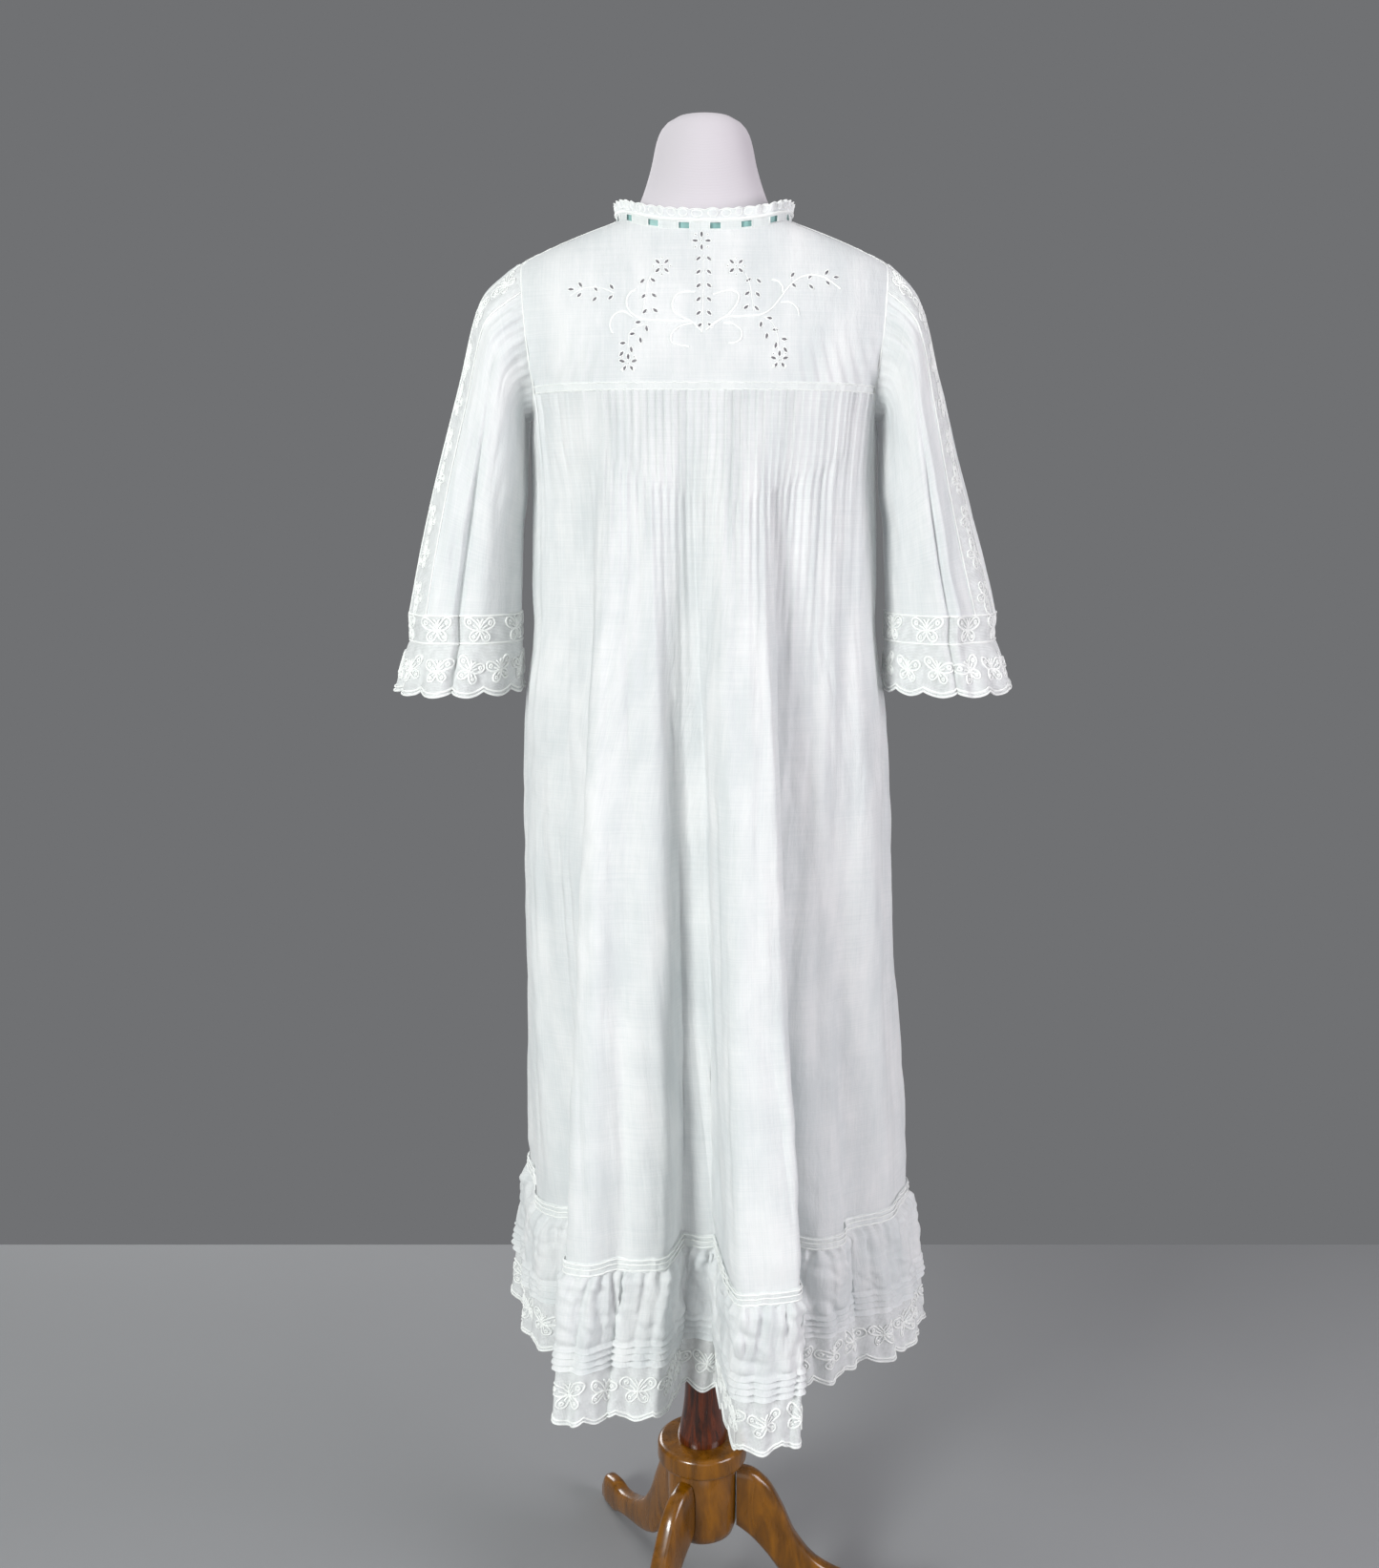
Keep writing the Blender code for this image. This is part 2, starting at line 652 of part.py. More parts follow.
def flower_petals(flower):
    petals = []
    for i in range(flower.petals):
        turn = math.radians(flower.turn + 360 * i / flower.petals)
        x = flower.x + flower.reach * math.cos(turn)
        z = flower.z + flower.reach * math.sin(turn)
        petals.append(leaf(x, z, turn, PETAL_SHAPE))
    return petals


def yoke_bottom():
    return YOKE_LINE + TAPE_HEIGHT / 2 + SEAM


def back_yoke_side():
    """Right-hand edge of the back yoke in its flat pattern, from the tape up to the neck."""
    seam_angle = SHOULDER_BACK - SEAM_TURN
    tip = armhole_height(seam_angle)
    armhole = [(along(ARMHOLE, "reach", z), z) for z in spaced(yoke_bottom(), tip, 9)]
    seam = []
    for z in spaced(tip, neck_height(seam_angle) - SEAM, 7)[1:]:
        seam.append((wall_point(BODY, seam_angle, z).x, z))
    return armhole + seam


def back_yoke_place(x, z):
    return Vector((x, depth_at(x, z), z))


def make_back_yoke(material):
    side = back_yoke_side()
    bottom_reach = side[0][0]
    bottom = [(x, yoke_bottom()) for x in spaced(-bottom_reach, bottom_reach, 19)][1:-1]
    neckline = []
    for angle in spaced(SHOULDER_BACK - SEAM_TURN, -SHOULDER_BACK + SEAM_TURN, 15)[1:-1]:
        point = neck_point(angle, -SEAM)
        neckline.append((point.x, point.z))
    outline = bottom + side + neckline + [(-x, z) for x, z in reversed(side)]
    holes = [hole for sprig in SPRIGS for hole in sprig_leaves(sprig)]
    holes += [hole for flower in FLOWERS for hole in flower_petals(flower)]
    grid = [(x, z) for x in spaced(-0.170, 0.170, 17) for z in spaced(1.446, 1.578, 7)]
    cut_wall("back_yoke", outline, holes, grid, back_yoke_place, CLOTH, material, step=0.0004, clear=0.0065)


# Front yoke

def front_yoke_place(side):
    """A four-sided patch from the shoulder and neckline down to the front tape."""
    bottom_z = yoke_bottom()
    seam_angle = SHOULDER_FRONT + SEAM_TURN
    middle_z = (ARMHOLE[-1].height + ARMHOLE[0].height) / 2
    half_height = ARMHOLE[-1].height - middle_z
    tip_z = armhole_height(seam_angle)
    tip_phi = math.degrees(math.acos((tip_z - middle_z) / half_height))
    end_phi = -math.degrees(math.acos((bottom_z - middle_z) / half_height))

    def edge(q):
        phi = mix(tip_phi, end_phi, q)
        z = middle_z + half_height * math.cos(math.radians(phi))
        angle = armhole_angle(z)
        return (angle if phi > 0 else 180.0 - angle, z)

    def top(p):
        if p < NECK_CORNER:
            return (seam_angle, mix(tip_z, neck_height(seam_angle) - SEAM, p / NECK_CORNER))
        angle = mix(seam_angle, 180.0, (p - NECK_CORNER) / (1 - NECK_CORNER))
        return (angle, neck_height(angle) - SEAM)

    def bottom(p):
        return (mix(180.0 - armhole_angle(bottom_z), 180.0, p), bottom_z)

    def middle(q):
        return (180.0, mix(NECK_FRONT - SEAM, bottom_z, q))

    def place(p, q):
        t, b, e, m = top(p), bottom(p), edge(q), middle(q)
        flat = []
        for i in range(2):
            ruled = mix(t[i], b[i], q) + mix(e[i], m[i], p)
            corners = mix(mix(top(0)[i], top(1)[i], p), mix(bottom(0)[i], bottom(1)[i], p), q)
            flat.append(ruled - corners)
        point = wall_point(BODY, flat[0], flat[1])
        return Vector((side * max(point.x, SEAM / 2), point.y, point.z))

    return place


def make_front_yokes(material):
    across = spaced(0, NECK_CORNER, 7) + spaced(NECK_CORNER, 1, 9)[1:]
    rows = (0.0, 0.1, 0.23, 0.42, 0.70, 1.0)
    for name, side in (("left", -1), ("right", 1)):
        grid_wall(f"front_yoke_{name}", front_yoke_place(side), rows, across, CLOTH, material)


def make_shoulder_lace(material):
    """Strips of lace insertion along the shoulder seams, from the sleeve to the neckband."""
    for name, side in (("left", -1), ("right", 1)):

        def place(p, q):
            angle = mix(SHOULDER_BACK + SEAM_TURN, SHOULDER_FRONT - SEAM_TURN, p)
            point = wall_point(BODY, angle, mix(armhole_height(angle), neck_height(angle) - SEAM, q))
            return Vector((side * point.x, point.y, point.z))

        grid_wall(f"shoulder_lace_{name}", place, spaced(0, 1, 7), spaced(0, 1, 3), LACE, material)


# Tapes over the yoke seams


def make_yoke_tapes(material):
    low, high = YOKE_LINE - TAPE_HEIGHT / 2, YOKE_LINE + TAPE_HEIGHT / 2
    reach = armhole_angle(YOKE_LINE) - TAPE_SHORT
    for name, middle in (("yoke_tape_back", 0.0), ("yoke_tape_front", 180.0)):

        def place(p, q):
            return wall_point(BODY, middle + mix(-reach, reach, p), mix(low, high, q))

        grid_wall(name, place, (0, 1), spaced(0, 1, 18), CLOTH * 1.5, material, level=True)


# Skirt


def panel_top(share, first, last):
    """Top edge of a skirt panel: the tape, and the armhole's lower curve at its sides."""
    tape = YOKE_LINE - TAPE_HEIGHT / 2 - SEAM
    angle = abs(turned(mix(first, last, share) - (first + last) / 2))
    start = armhole_angle(tape) - PANEL_TOP_TURN
    if angle <= start:
        return tape
    return mix(tape, ARMHOLE[0].height, ease((angle - start) / (90.0 - start)) ** 0.6) - SEAM


def tuck_share(k):
    """Share across the back panel of half-tuck k: even ones are ridges, odd ones the valleys."""
    x = mix(TUCK_FROM_X, TUCK_TO_X, k / (2 * TUCKS))
    z = YOKE_LINE
    across = signed_power(x / along(BODY, "half_width", z), along(BODY, "square", z) / 2)
    angle = math.degrees(math.asin(across))
    angles = np.linspace(-90.0, 90.0, ROW_SAMPLES)
    points = np.array([wall_point(BODY, a, z) for a in angles])
    lengths = np.concatenate([[0.0], np.cumsum(np.linalg.norm(np.diff(points, axis=0), axis=1))])
    return float(np.interp(angle, angles, lengths / lengths[-1]))


def tuck_end(k):
    """Height at which a tuck is let out: lowest at the middle of the panel."""
    away = abs(2 * k / (2 * TUCKS) - 1)
    return mix(TUCK_END_MIDDLE, TUCK_END_SIDE, away**1.6)


def make_back_skirt(material):
    """The tucked back panel. Its tucks are ridges of the wall that end where they are let out."""
    edge = PANEL_WIDTH / 2 - SEAM / 2
    base = FLOUNCE_TOP + SEAM
    tape = YOKE_LINE - TAPE_HEIGHT / 2 - SEAM
    stations = [(tuck_share(k) - 0.5) * PANEL_WIDTH for k in range(2 * TUCKS + 1)]
    outline = [(mix(-edge, edge, share), base) for share in hem_shares("back")]
    sides = spaced(base, ARMHOLE[0].height - SEAM, 10)[1:-1]
    outline += [(edge, z) for z in sides]
    plain_right = [s for s in spaced(edge, stations[-1], 7)][:-1]
    plain_left = [s for s in spaced(stations[0], -edge, 7)][1:]
    for s in plain_right + stations[::-1] + plain_left:
        outline.append((s, panel_top(s / PANEL_WIDTH + 0.5, -90.0, 90.0)))
    outline += [(-edge, z) for z in reversed(sides)]

    crowns = {}
    inner = []
    for k, s in enumerate(stations):
        for step, z in enumerate(spaced(tape, tuck_end(k), 4)[1:]):
            inner.append((s, z))
            if k % 2 == 0 and step < 2:
                crowns[(round(s, 5), round(z, 5))] = TUCK_HEIGHT * (1.0, 0.8)[step]
        if k % 2 == 0:
            crowns[(round(s, 5), round(panel_top(s / PANEL_WIDTH + 0.5, -90.0, 90.0), 5))] = TUCK_HEIGHT
    for z in spaced(base, 1.270, 8)[1:]:
        inner += [(mix(-edge, edge, share), z) for share in bend_shares(z, -90.0, 90.0, 30)[1:-1]]
    for z in (TUCK_END_MIDDLE, TUCK_END_SIDE, 1.395):
        inner += [(s, z) for s in plain_left[:-1] + plain_right[1:]]

    def rise(s, z):
        return crowns.get((round(s, 5), round(z, 5)), 0.0)

    cut_wall("back_skirt", outline, [], inner, back_skirt_place, CLOTH, material, level=True, rise=rise,
             clear=0.0015)


def make_front_skirt(material):
    edge = PANEL_WIDTH / 2 - SEAM / 2
    base = FLOUNCE_TOP + SEAM
    outline = [(mix(-edge, edge, share), base) for share in hem_shares("front")]
    sides = spaced(base, ARMHOLE[0].height - SEAM, 9)[1:-1]
    outline += [(edge, z) for z in sides]
    outline += [(s, panel_top(s / PANEL_WIDTH + 0.5, 90.0, 270.0)) for s in spaced(edge, -edge, 21)]
    outline += [(-edge, z) for z in reversed(sides)]
    inner = [(s, z) for s in (-0.030, 0.0, 0.030) for z in (1.340, 1.368)]
    for z in spaced(base, 1.39, 8)[1:-1]:
        inner += [(mix(-edge, edge, share), z) for share in bend_shares(z, 90.0, 270.0, 25)[1:-1]]
    cut_wall("front_skirt", outline, [], inner, front_skirt_place, CLOTH, material, level=True, clear=0.004)


# Hem


def hem_shares(half):
    """Shares of one half of the hem at which the ruffle's crests and valleys lie in turn."""
    first = {"back": -90.0, "front": 90.0}[half]
    return bend_shares(HEM_MIDDLE, first, first + 180.0, FLOUNCE_WAVES + 1)


def hem_columns():
    """The same places all round the hem, from the left side seam by the back."""
    back = [share / 2 for share in hem_shares("back")]
    front = [0.5 + share / 2 for share in hem_shares("front")]
    return back[:-1] + front[:-1]


def flounce_point(share, z, out):
    """Point of the flounce or its band. share runs round the hem from the left side seam."""
    half = 2 * (share % 1.0)
    if half < 1.0:
        angle = angle_along(z, half, -90.0, 90.0)
    else:
        angle = angle_along(z, half - 1.0, 90.0, 270.0)
    point = skirt_point(angle, z)
    outwards = Vector((point.x, point.y, 0.0)).normalized()
    return point + outwards * out


def make_hem(cotton, lace):
    band_low = FLOUNCE_TOP - HEM_BAND_HEIGHT
    columns = hem_columns()
    crests = []
    for i, share in enumerate(columns):
        room = (columns[(i + 1) % len(columns)] - columns[i - 1]) % 1.0
        size = min(1.0, room * len(columns) / 2) ** 1.6 * (0.75 + 0.25 * math.sin(2.3 * i))
        crests.append(size if i % 2 else -size)

    def band_place(share, z):
        return flounce_point(share, z, 0.0006)

    rows = (FLOUNCE_TOP, band_low + SEAM)
    grid_wall("hem_band", band_place, rows, columns, CLOTH * 1.6, cotton, closed=True, level=True)

    def place(share, z):
        """The flounce stands out from the skirt in small waves that grow towards its edge."""
        down = (band_low - z) / (band_low - HEM)
        wave = float(np.interp(share % 1.0, columns + [1.0], crests + crests[:1]))
        return flounce_point(share, z, mix(0.0025, 0.0085, down**0.7) + mix(0.0016, 0.0055, down) * wave)

    rows = (band_low, 0.500, LACE_TOP + SEAM)
    grid_wall("hem_flounce", place, rows, columns, CLOTH, cotton, closed=True, level=True)

    stretch = 2.2

    def flat_place(u, v):
        return place(u / stretch, v)

    count = HEM_SCALLOPS // 2
    for name, first in (("hem_lace_back", 0.0), ("hem_lace_front", 0.5)):
        start, end = first + 0.0004, first + 0.4996
        middle_columns = [share for share in columns if start < share < end]
        outline = [(share * stretch, LACE_TOP - SEAM) for share in [end] + middle_columns[::-1] + [start]]
        holes = []
        for i in range(count):
            left = mix(start, end, i / count)
            width = (end - start) / count
            outline += [(left * stretch, HEM + SCALLOP_DEPTH), ((left + width * 0.5) * stretch, HEM)]
            middle, z = (left + width * 0.5) * stretch, mix(LACE_TOP, HEM, 0.50)
            tall, wide = 0.0075, width * 0.16 * stretch
            holes.append([(middle + wide, z), (middle, z + tall), (middle - wide, z), (middle, z - tall)])
        outline.append((end * stretch, HEM + SCALLOP_DEPTH))
        cut_wall(name, outline, holes, [], flat_place, LACE, lace, level=True)


# Sleeves


def sleeve_core(side):
    def core(point):
        down = (SLEEVE[0].outer_z - point.z) / (SLEEVE[0].outer_z - CUFF_TOP)
        reach = mix(0.190, 0.250, ease(down * 1.3))
        return Vector((side * reach, -0.008, point.z))

    return core


def sleeve_point(phi, share, side):
    """Point of a sleeve. phi is 0 at the outer edge, 90 at the back, 180 inside. share runs down."""
    row = Fall(share, *[along(SLEEVE, column, share) for column in Fall._fields[1:]])
    turn = math.radians(phi)
    outer_x = row.outer_x - side * row.lean / 2
    across, out_x = (outer_x + row.inner_x) / 2, (outer_x - row.inner_x) / 2
    up, out_z = (row.outer_z + row.inner_z) / 2, (row.outer_z - row.inner_z) / 2
    wave = 0.0
    for fold in SLEEVE_FOLDS:
        rise = mix(fold.rise_top, fold.rise_hem, ease(share * 1.3))
        wave += rise * math.sin(fold.waves * turn + fold.lag + side)
    wave += CAP_RISE * math.sin(CAP_WAVES * turn) * ease(share / 0.06) * ease((0.30 - share) / 0.24)
    if math.cos(turn) < 0:
        wave *= 1 + 0.9 * math.cos(turn)
    reach = math.cos(turn) * (1 + wave / 0.075)
    depth = (row.half_depth + wave) * math.sin(turn)
    loose = Vector((side * (across + out_x * reach), row.middle - depth, up + out_z * reach))
    held = ease(1 - share / SLEEVE_HELD)
    if held > 0:
        seam = SLEEVE[0]
        across, out_x = (seam.outer_x + seam.inner_x) / 2, (seam.outer_x - seam.inner_x) / 2
        up, out_z = (seam.outer_z + seam.inner_z) / 2, (seam.outer_z - seam.inner_z) / 2
        plain = Vector((
            side * (across + out_x * math.cos(turn)),
            -seam.half_depth * math.sin(turn),
            up + out_z * math.cos(turn),
        ))
        away = ARMHOLE_SEAM + UNDERARM_EASE * (1 - math.cos(turn)) / 2
        loose += (armhole_point(phi, side, away) - plain) * held
    return loose


def make_sleeves(cotton, lace):
    rows = (0.0, 0.045, 0.11, 0.22, 0.42, 0.70, 1.0 - 0.0016)
    for name, side in (("left", -1), ("right", 1)):
        gap = 0.35

        def sleeve_place(p, q):
            back = 360.0 - INSERTION_TO
            phi = mix(360.0 - INSERTION_FROM + gap, 360.0 + back - gap, p)
            return sleeve_point(phi, q, side)

        def lace_place(p, q):
            phi = mix(360.0 - INSERTION_TO + gap, 360.0 - INSERTION_FROM - gap, p)
            return sleeve_point(phi, q, side)

        core = sleeve_core(side)
        grid_wall(f"sleeve_{name}", sleeve_place, rows, spaced(0, 1, 25), CLOTH, cotton, core=core)
        grid_wall(f"sleeve_lace_{name}", lace_place, rows, spaced(0, 1, 3), LACE, lace, core=core)


def cuff_point(phi, z, side):
    """Point of the lace at a sleeve's end: a band, then a ruffle that flares."""
    turn = math.radians(phi)
    band = sleeve_point(phi, 1.0, side)
    band.z = z
    flare = min(1.0, max(0.0, (CUFF_TOP - CUFF_BAND - z) / (CUFF_TOP - CUFF_BAND - CUFF_HEM)))
    if flare <= 0:
        return band
    middle_x = (RUFFLE_OUTER_X + RUFFLE_INNER_X) / 2
    wave = RUFFLE_RISE * math.sin(RUFFLE_WAVES * turn + side)
    if math.cos(turn) < 0:
        wave *= 1 + 0.9 * math.cos(turn)
    end = Vector((
        side * (middle_x + ((RUFFLE_OUTER_X - RUFFLE_INNER_X) / 2 + wave) * math.cos(turn)),
        SLEEVE[-1].middle - (RUFFLE_HALF_DEPTH + wave) * math.sin(turn),
        z,
    ))
    return band.lerp(end, flare**0.8)


def make_cuffs(lace):
    stretch = 0.001
    for name, side in (("left", -1), ("right", 1)):
        for half, first in (("back", 0.0), ("front", 180.0)):
            start, end = first + 0.2, first + 179.8

            def place(u, v):
                return cuff_point(u / stretch, v, side)

            band_low, band_top = CUFF_TOP - CUFF_BAND + SEAM, CUFF_TOP - SEAM
            top = [(phi * stretch, band_top) for phi in spaced(end, start, CUFF_REPEATS * 2 + 1)]
            low = [(phi * stretch, band_low) for phi in spaced(start, end, CUFF_REPEATS * 2 + 1)]
            holes = []
            for i in range(CUFF_REPEATS):
                phi = mix(start, end, (i + 0.5) / CUFF_REPEATS) * stretch
                z = (band_low + band_top) / 2
                holes.append([(phi + 0.0038, z), (phi, z + 0.0065), (phi - 0.0038, z), (phi, z - 0.0065)])
            cut_wall(f"cuff_lace_{name}_{half}", low + top, holes, [], place, LACE, lace,
                     core=sleeve_core(side), level=True)

            ruffle_top = CUFF_TOP - CUFF_BAND - SEAM
            top = [(phi * stretch, ruffle_top) for phi in spaced(end, start, RUFFLE_SCALLOPS * 2 + 1)]
            low, holes = [], []
            for i in range(RUFFLE_SCALLOPS):
                left = mix(start, end, i / RUFFLE_SCALLOPS)
                width = (end - start) / RUFFLE_SCALLOPS
                for share, up in CUFF_SCALLOP:
                    low.append(((left + width * share) * stretch, CUFF_HEM + up))
                phi = (left + width * 0.5) * stretch
                z = mix(ruffle_top, CUFF_HEM, 0.48)
                holes.append([(phi + 0.0042, z), (phi, z + 0.0070), (phi - 0.0042, z), (phi, z - 0.0070)])
            low.append((end * stretch, CUFF_HEM + CUFF_SCALLOP[0][1]))
            cut_wall(f"cuff_ruffle_{name}_{half}", low + top, holes, [], place, LACE, lace,
                     core=sleeve_core(side), level=True)


# Neck


def make_neck(cotton, lace, ribbon):
    """The neckband stands just inside the yoke's edge, with the ribbon behind it and the frill on it."""
    band_in = LACE + 3.5 * SEAM
    band_base = -0.0010
    for name, first in (("neckband_back", -90.0), ("neckband_front", 90.0)):
        angles = spaced(first + 0.35, first + 179.65, 120)
        points = [neck_point(angle, 0.0, band_in) for angle in angles]
        lengths = [0.0]
        for here, after in zip(points, points[1:]):
            lengths.append(lengths[-1] + (after - here).length)

        def place(length, up):
            return neck_point(float(np.interp(length, lengths, angles)), up, band_in)

        holes = []
        for i in range(BEADING_SLOTS):
            left = FIRST_SLOT + i * SLOT_PITCH - SLOT_WIDTH / 2
            right, low, high = left + SLOT_WIDTH, band_base + 0.0024, band_base + NECKBAND_HEIGHT - 0.0020
            holes.append([(left, low), (right, low), (right, high), (left, high)])
        bottom = [(length, band_base) for length in spaced(0.0, lengths[-1], 20)]
        top = [(length, band_base + NECKBAND_HEIGHT) for length in spaced(lengths[-1], 0.0, 20)]
        cut_wall(name, bottom + top, holes, [], place, LACE, lace, level=True)

    def ribbon_place(share, up):
        return neck_point(360 * share, up, band_in + RIBBON + RIBBON_GAP)

    rows = (band_base + 0.0012, band_base + NECKBAND_HEIGHT - 0.0012)
    grid_wall("neck_ribbon", ribbon_place, rows, loop_shares(36), RIBBON, ribbon, closed=True, level=True)

    def frill_place(share, up):
        flare = up / FRILL_HEIGHT
        wave = math.sin(2 * math.pi * FRILL_WAVES * share)
        out = 0.0010 * flare + mix(0.0006, 0.0020, flare) * wave
        return neck_point(360 * share, band_base + NECKBAND_HEIGHT + 2 * SEAM + up, band_in - out)

    shares = [(i + 0.5) / (2 * FRILL_WAVES) for i in range(2 * FRILL_WAVES)]
    grid_wall("neck_frill", frill_place, (0.0, FRILL_HEIGHT), shares, LACE, cotton, closed=True, level=True)


# Front closing


def make_closing(cotton, shell):
    """A plain strip over the centre front, and its buttons."""
    lift = CLOTH * 1.5 + PLACKET_LIFT

    def place(p, z):
        x = mix(-PLACKET_HALF_WIDTH, PLACKET_HALF_WIDTH, p)
        if z > YOKE_LINE:
            power = along(BODY, "square", z)
            share = abs(x) / along(BODY, "half_width", z)
            y = along(BODY, "front", z) * (1 - share**power) ** (1 / power)
            point = Vector((x, y, z))
        else:
            point = skirt_point(180.0 - math.degrees(math.atan2(x, along(BODY, "front", z))), z)
            point.x = x
        return point + Vector((0.0, lift, 0.0))

    top = NECK_FRONT - 0.002
    rows = spaced(PLACKET_BASE, top, 10)
    points = [place(p, z) for z in rows for p in (0, 0.33, 0.67, 1)]
    normals = [(0.0, 1.0, 0.0)] * len(points)
    thick_wall("front_placket", points, grid_faces(len(rows), 4), CLOTH, cotton, body_core, normals=normals)

    for number, z in enumerate(BUTTON_HEIGHTS, 1):
        seat = place(0.5, z)
        slope_angle = math.atan2((place(0.5, z + 0.004) - place(0.5, z - 0.004)).y, 0.008)
        mesh = bmesh.new()
        bmesh.ops.create_cone(mesh, cap_ends=True, segments=14, radius1=BUTTON_RADIUS,
                              radius2=BUTTON_RADIUS * 0.86, depth=BUTTON_THICKNESS)
        bmesh.ops.triangulate(mesh, faces=mesh.faces)
        data = bpy.data.meshes.new(f"button_{number}")
        mesh.to_mesh(data)
        mesh.free()
        data.materials.append(shell)
        button = bpy.data.objects.new(f"button_{number}", data)
        bpy.context.scene.collection.objects.link(button)
        away = CLOTH + BUTTON_GAP + BUTTON_THICKNESS / 2
        button.location = seat + Vector((0.0, away, 0.0))
        button.rotation_euler = (math.radians(-90) - slope_angle, 0.0, 0.0)


# Dress form and stand


def make_form(material):
    """One closed body: rings from the open base up to the rounded neck cap."""
    points = []
    heights = [row.height for row in FORM]
    angles = [360 * i / FORM_COLUMNS for i in range(FORM_COLUMNS)]
    for z in heights:
        points += [wall_point(FORM, angle, z) for angle in angles]
    faces = grid_faces(len(heights), FORM_COLUMNS, closed=True)
    last = (len(heights) - 1) * FORM_COLUMNS
    points.append(Vector((0.0, 0.0, FORM_TOP)))
    cap = len(points) - 1
    points.append(Vector((0.0, 0.0, FORM_BASE)))
    base = len(points) - 1
    for i in range(FORM_COLUMNS):
        after = (i + 1) % FORM_COLUMNS
        faces.append((last + i, last + after, cap))
        faces.append((after, i, base))
    add_object("form_torso", points, faces, material)


def turned_piece(name, profile, material, sides):
    """A turned piece: a profile of radius and height swept round the pole's axis."""
    points = []
    for radius, z in profile:
        for i in range(sides):
            turn = 2 * math.pi * i / sides
            points.append(Vector((radius * math.cos(turn), radius * math.sin(turn), z)))
    faces = grid_faces(len(profile), sides, closed=True)
    for ring, z, flip in ((0, profile[0][1], False), (len(profile) - 1, profile[-1][1], True)):
        points.append(Vector((0.0, 0.0, z)))
        centre = len(points) - 1
        for i in range(sides):
            a, b = ring * sides + i, ring * sides + (i + 1) % sides
            faces.append((a, b, centre) if flip else (b, a, centre))
    return add_object(name, points, faces, material)


def make_stand(dark_wood, wood):
    collar_top = COLLAR_BASE + COLLAR_HEIGHT
    pole_base = collar_top + SEAM
    pole = (
        (POLE_FOOT_RADIUS, pole_base),
        (POLE_FOOT_RADIUS, pole_base + 0.006),
        (POLE_RADIUS * 1.12, pole_base + 0.030),
        (POLE_RADIUS, pole_base + 0.080),
        (POLE_RADIUS, FORM_BASE - SEAM),
    )
    turned_piece("stand_pole", pole, dark_wood, 16)
    bevel = 0.004
    collar = (
        (COLLAR_RADIUS - bevel, COLLAR_BASE),
        (COLLAR_RADIUS, COLLAR_BASE + bevel),
        (COLLAR_RADIUS, collar_top - bevel),
        (COLLAR_RADIUS - bevel, collar_top),
    )
    turned_piece("stand_collar", collar, wood, 24)
    hub_top = COLLAR_BASE - SEAM
    hub = (
        (HUB_RADIUS * 0.55, HUB_BASE),
        (HUB_RADIUS * 0.92, HUB_BASE + 0.004),
        (HUB_RADIUS, HUB_BASE + 0.014),
        (HUB_RADIUS, hub_top),
    )
    turned_piece("stand_hub", hub, wood, 20)
    for number, angle in enumerate(LEG_ANGLES, 1):
        make_leg(f"stand_leg_{number}", angle, wood)


def make_leg(name, angle, wood):
    """A curved leg: eight-sided sections along its reach, flat under the foot."""
    turn = math.radians(angle)
    outwards = Vector((math.cos(turn), math.sin(turn), 0.0))
    sideways = Vector((-math.sin(turn), math.cos(turn), 0.0))
    points = []
    half = LEG_WIDTH / 2
    reaches = [row.reach for row in LEG]
    for row in LEG:
        taper = mix(1.0, 0.78, (row.reach - reaches[0]) / (reaches[-1] - reaches[0]))
        if row.reach > FOOT_END:
            taper *= 0.7
        for across, up in LEG_SECTION:
            height = mix(row.lower, row.upper, up)
            points.append(outwards * row.reach + sideways * (across * half * taper) + Vector((0, 0, height)))
    count = len(LEG_SECTION)
    faces = grid_faces(len(LEG), count, closed=True)
    for i in range(1, count - 1):
        faces.append((0, i + 1, i))
        tip = (len(LEG) - 1) * count
        faces.append((tip, tip + i, tip + i + 1))
    add_object(name, points, faces, wood)


def main():
    for old in list(bpy.data.objects):
        bpy.data.objects.remove(old, do_unlink=True)
    cotton = new_material("cotton_lawn", (0.88, 0.90, 0.86), 0.9)
    lace = new_material("cotton_lace", (0.86, 0.87, 0.82), 0.95)
    ribbon = new_material("ribbon", (0.42, 0.60, 0.58), 0.5)
    shell = new_material("shell_button", (0.85, 0.82, 0.76), 0.3)
    form_cloth = new_material("form_cloth", (0.72, 0.69, 0.71), 0.9)
    dark_wood = new_material("dark_wood", (0.060, 0.020, 0.004), 0.3)
    wood = new_material("golden_wood", (0.19, 0.09, 0.014), 0.3)
    make_form(form_cloth)
    make_stand(dark_wood, wood)
    make_back_yoke(cotton)
    make_front_yokes(cotton)
    make_shoulder_lace(lace)
    make_yoke_tapes(cotton)
    make_back_skirt(cotton)
    make_front_skirt(cotton)
    make_hem(cotton, lace)
    make_sleeves(cotton, lace)
    make_cuffs(lace)
    make_neck(cotton, lace, ribbon)
    make_closing(cotton, shell)


main()
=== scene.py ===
"""White cotton tea dress on a limbless form and tripod stand, dressed for its picture.

Each piece of cloth is a thin sheet on the form of its solid, with the creases, tucks, gathers,
stitching and lace that the solids leave out. Units are metres and Z is up. An angle round the body
is 0 at the centre back (-Y), 90 at +X and 180 at the centre front.
"""

import math
from collections import namedtuple

import bmesh
import bpy
import numpy as np
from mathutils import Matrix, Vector
from mathutils.geometry import delaunay_2d_cdt


